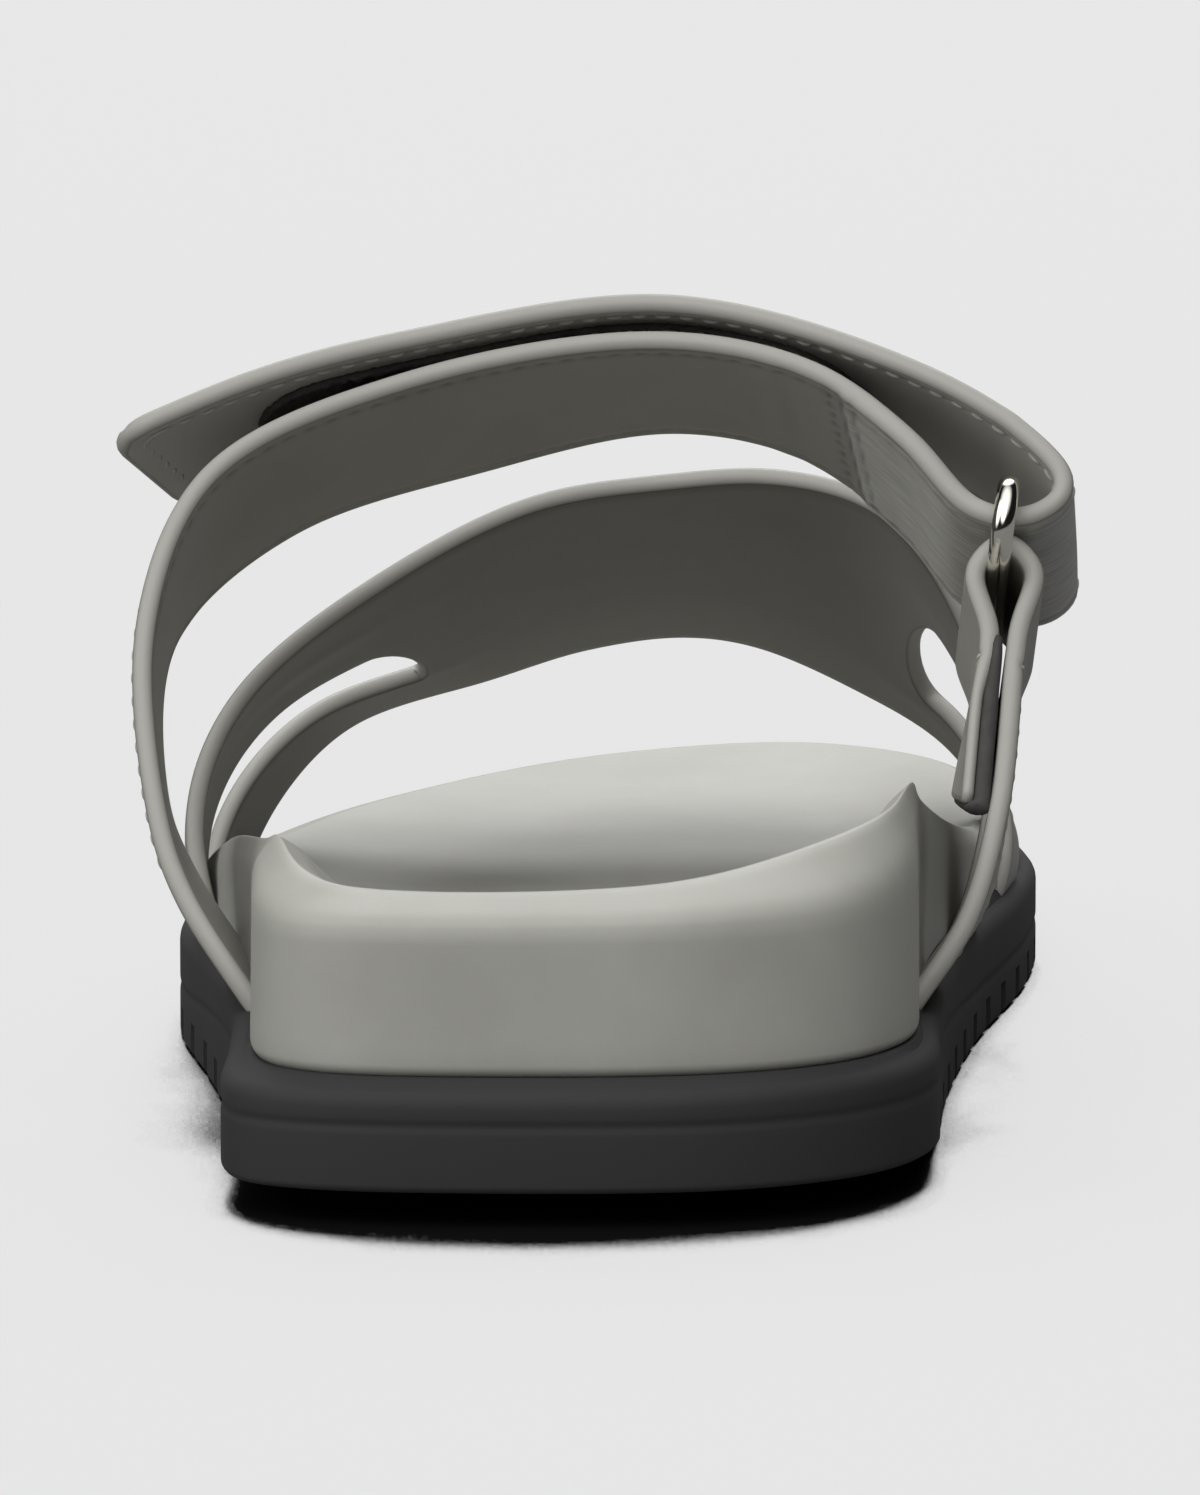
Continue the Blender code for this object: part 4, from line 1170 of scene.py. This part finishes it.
def makeFloor(shape):
    half = shape["floorSize"] / 2
    corners = [(-half, -half, 0.0), (half, -half, 0.0), (half, half, 0.0), (-half, half, 0.0)]
    mesh = bpy.data.meshes.new("floor")
    mesh.from_pydata(corners, [], [(0, 1, 2, 3)])
    made, tree, shader = newMaterial("paleFloor")
    # as the camera sees it the floor glows evenly, and an occlusion ramp darkens its colour and glow into a
    # painted contact shadow, black under the heel
    seen = addNode(tree, "ShaderNodeLightPath", {}).outputs["Is Camera Ray"]
    black = (0.0, 0.0, 0.0, 1.0)
    tilt = math.radians(shape["shadeTilt"])
    leaning = addNode(tree, "ShaderNodeCombineXYZ", {"Y": math.sin(tilt), "Z": math.cos(tilt)}).outputs[0]
    shade = {"Distance": shape["shadeReach"] * mm, "Normal": leaning}
    openness = addNode(tree, "ShaderNodeAmbientOcclusion", shade, samples=32).outputs["AO"]
    lit = ranged(tree, openness, shape["shadeFrom"], shape["shadeTo"], ease="SMOOTHSTEP")
    floorColour = mixColours(tree, lit, black, shape["floor"])
    glowColour = mixColours(tree, lit, black, shape["glow"])
    feed(tree, shader, {
        "Base Color": mixColours(tree, seen, shape["bounce"], floorColour),
        "Emission Color": mixColours(tree, seen, black, glowColour),
        "Emission Strength": 1.0, "Roughness": 0.9, "Specular IOR Level": 0.1,
    })
    mesh.materials.append(made)
    floor = linked("floor", mesh)


def makeLight(shape):
    world = bpy.data.worlds.new("studio")
    bpy.context.scene.world = world
    world.use_nodes = True
    tree = world.node_tree
    where = addNode(tree, "ShaderNodeTexCoord", {}).outputs["Generated"]
    total = shape["ambient"]
    for name, azimuth, elevation, inner, outer, strength in shape["boxes"]:
        a, e = math.radians(azimuth), math.radians(elevation)
        toward = (math.sin(a) * math.cos(e), -math.cos(a) * math.cos(e), math.sin(e))
        ends = {0: where, 1: toward}
        facing = addNode(tree, "ShaderNodeVectorMath", ends, operation="DOT_PRODUCT", label=name)
        rim, core = math.cos(math.radians(outer)), math.cos(math.radians(inner))
        glow = ranged(tree, facing.outputs["Value"], rim, core, toMax=strength, ease="SMOOTHSTEP")
        total = mathNode(tree, "ADD", glow, total)
    seen = addNode(tree, "ShaderNodeLightPath", {}).outputs["Is Camera Ray"]
    feed(tree, tree.nodes["Background"], {"Color": mixColours(tree, seen, total, shape["seen"])})


makeFloor(studio)
makeLight(studio)

cameraShape = {
    "across": 57.5, "along": -1100.0, "up": 183.0,      # where the photograph was taken from
    "focal": 4620.0, "pitch": -5.452,                   # the photograph's own lens, in its pixels
    "centre": (374.5, 850.0), "width": 435.0,           # this shoe in the photograph
    "frame": (1200, 1495), "fill": 0.80,
}


def makeCamera(shape):
    camera = bpy.data.cameras.new("camera")
    camera.sensor_fit = "HORIZONTAL"
    camera.sensor_width = 36.0
    camera.lens = camera.sensor_width * shape["focal"] * shape["fill"] / shape["width"]
    camera.clip_start = 0.05
    camera.clip_end = 50.0
    made = linked("camera", camera)
    made.location = place([shape["across"], shape["along"], shape["up"]])
    turn = math.atan((shape["centre"][0] - shape["frame"][0] / 2) / shape["focal"])
    drop = math.atan((shape["centre"][1] - shape["frame"][1] / 2) / shape["focal"])
    made.rotation_euler = (math.radians(90.0 + shape["pitch"]) - drop, 0.0, -turn)
    bpy.context.scene.camera = made


makeCamera(cameraShape)
bpy.context.scene.view_settings.view_transform = "Standard"
print("stage set")
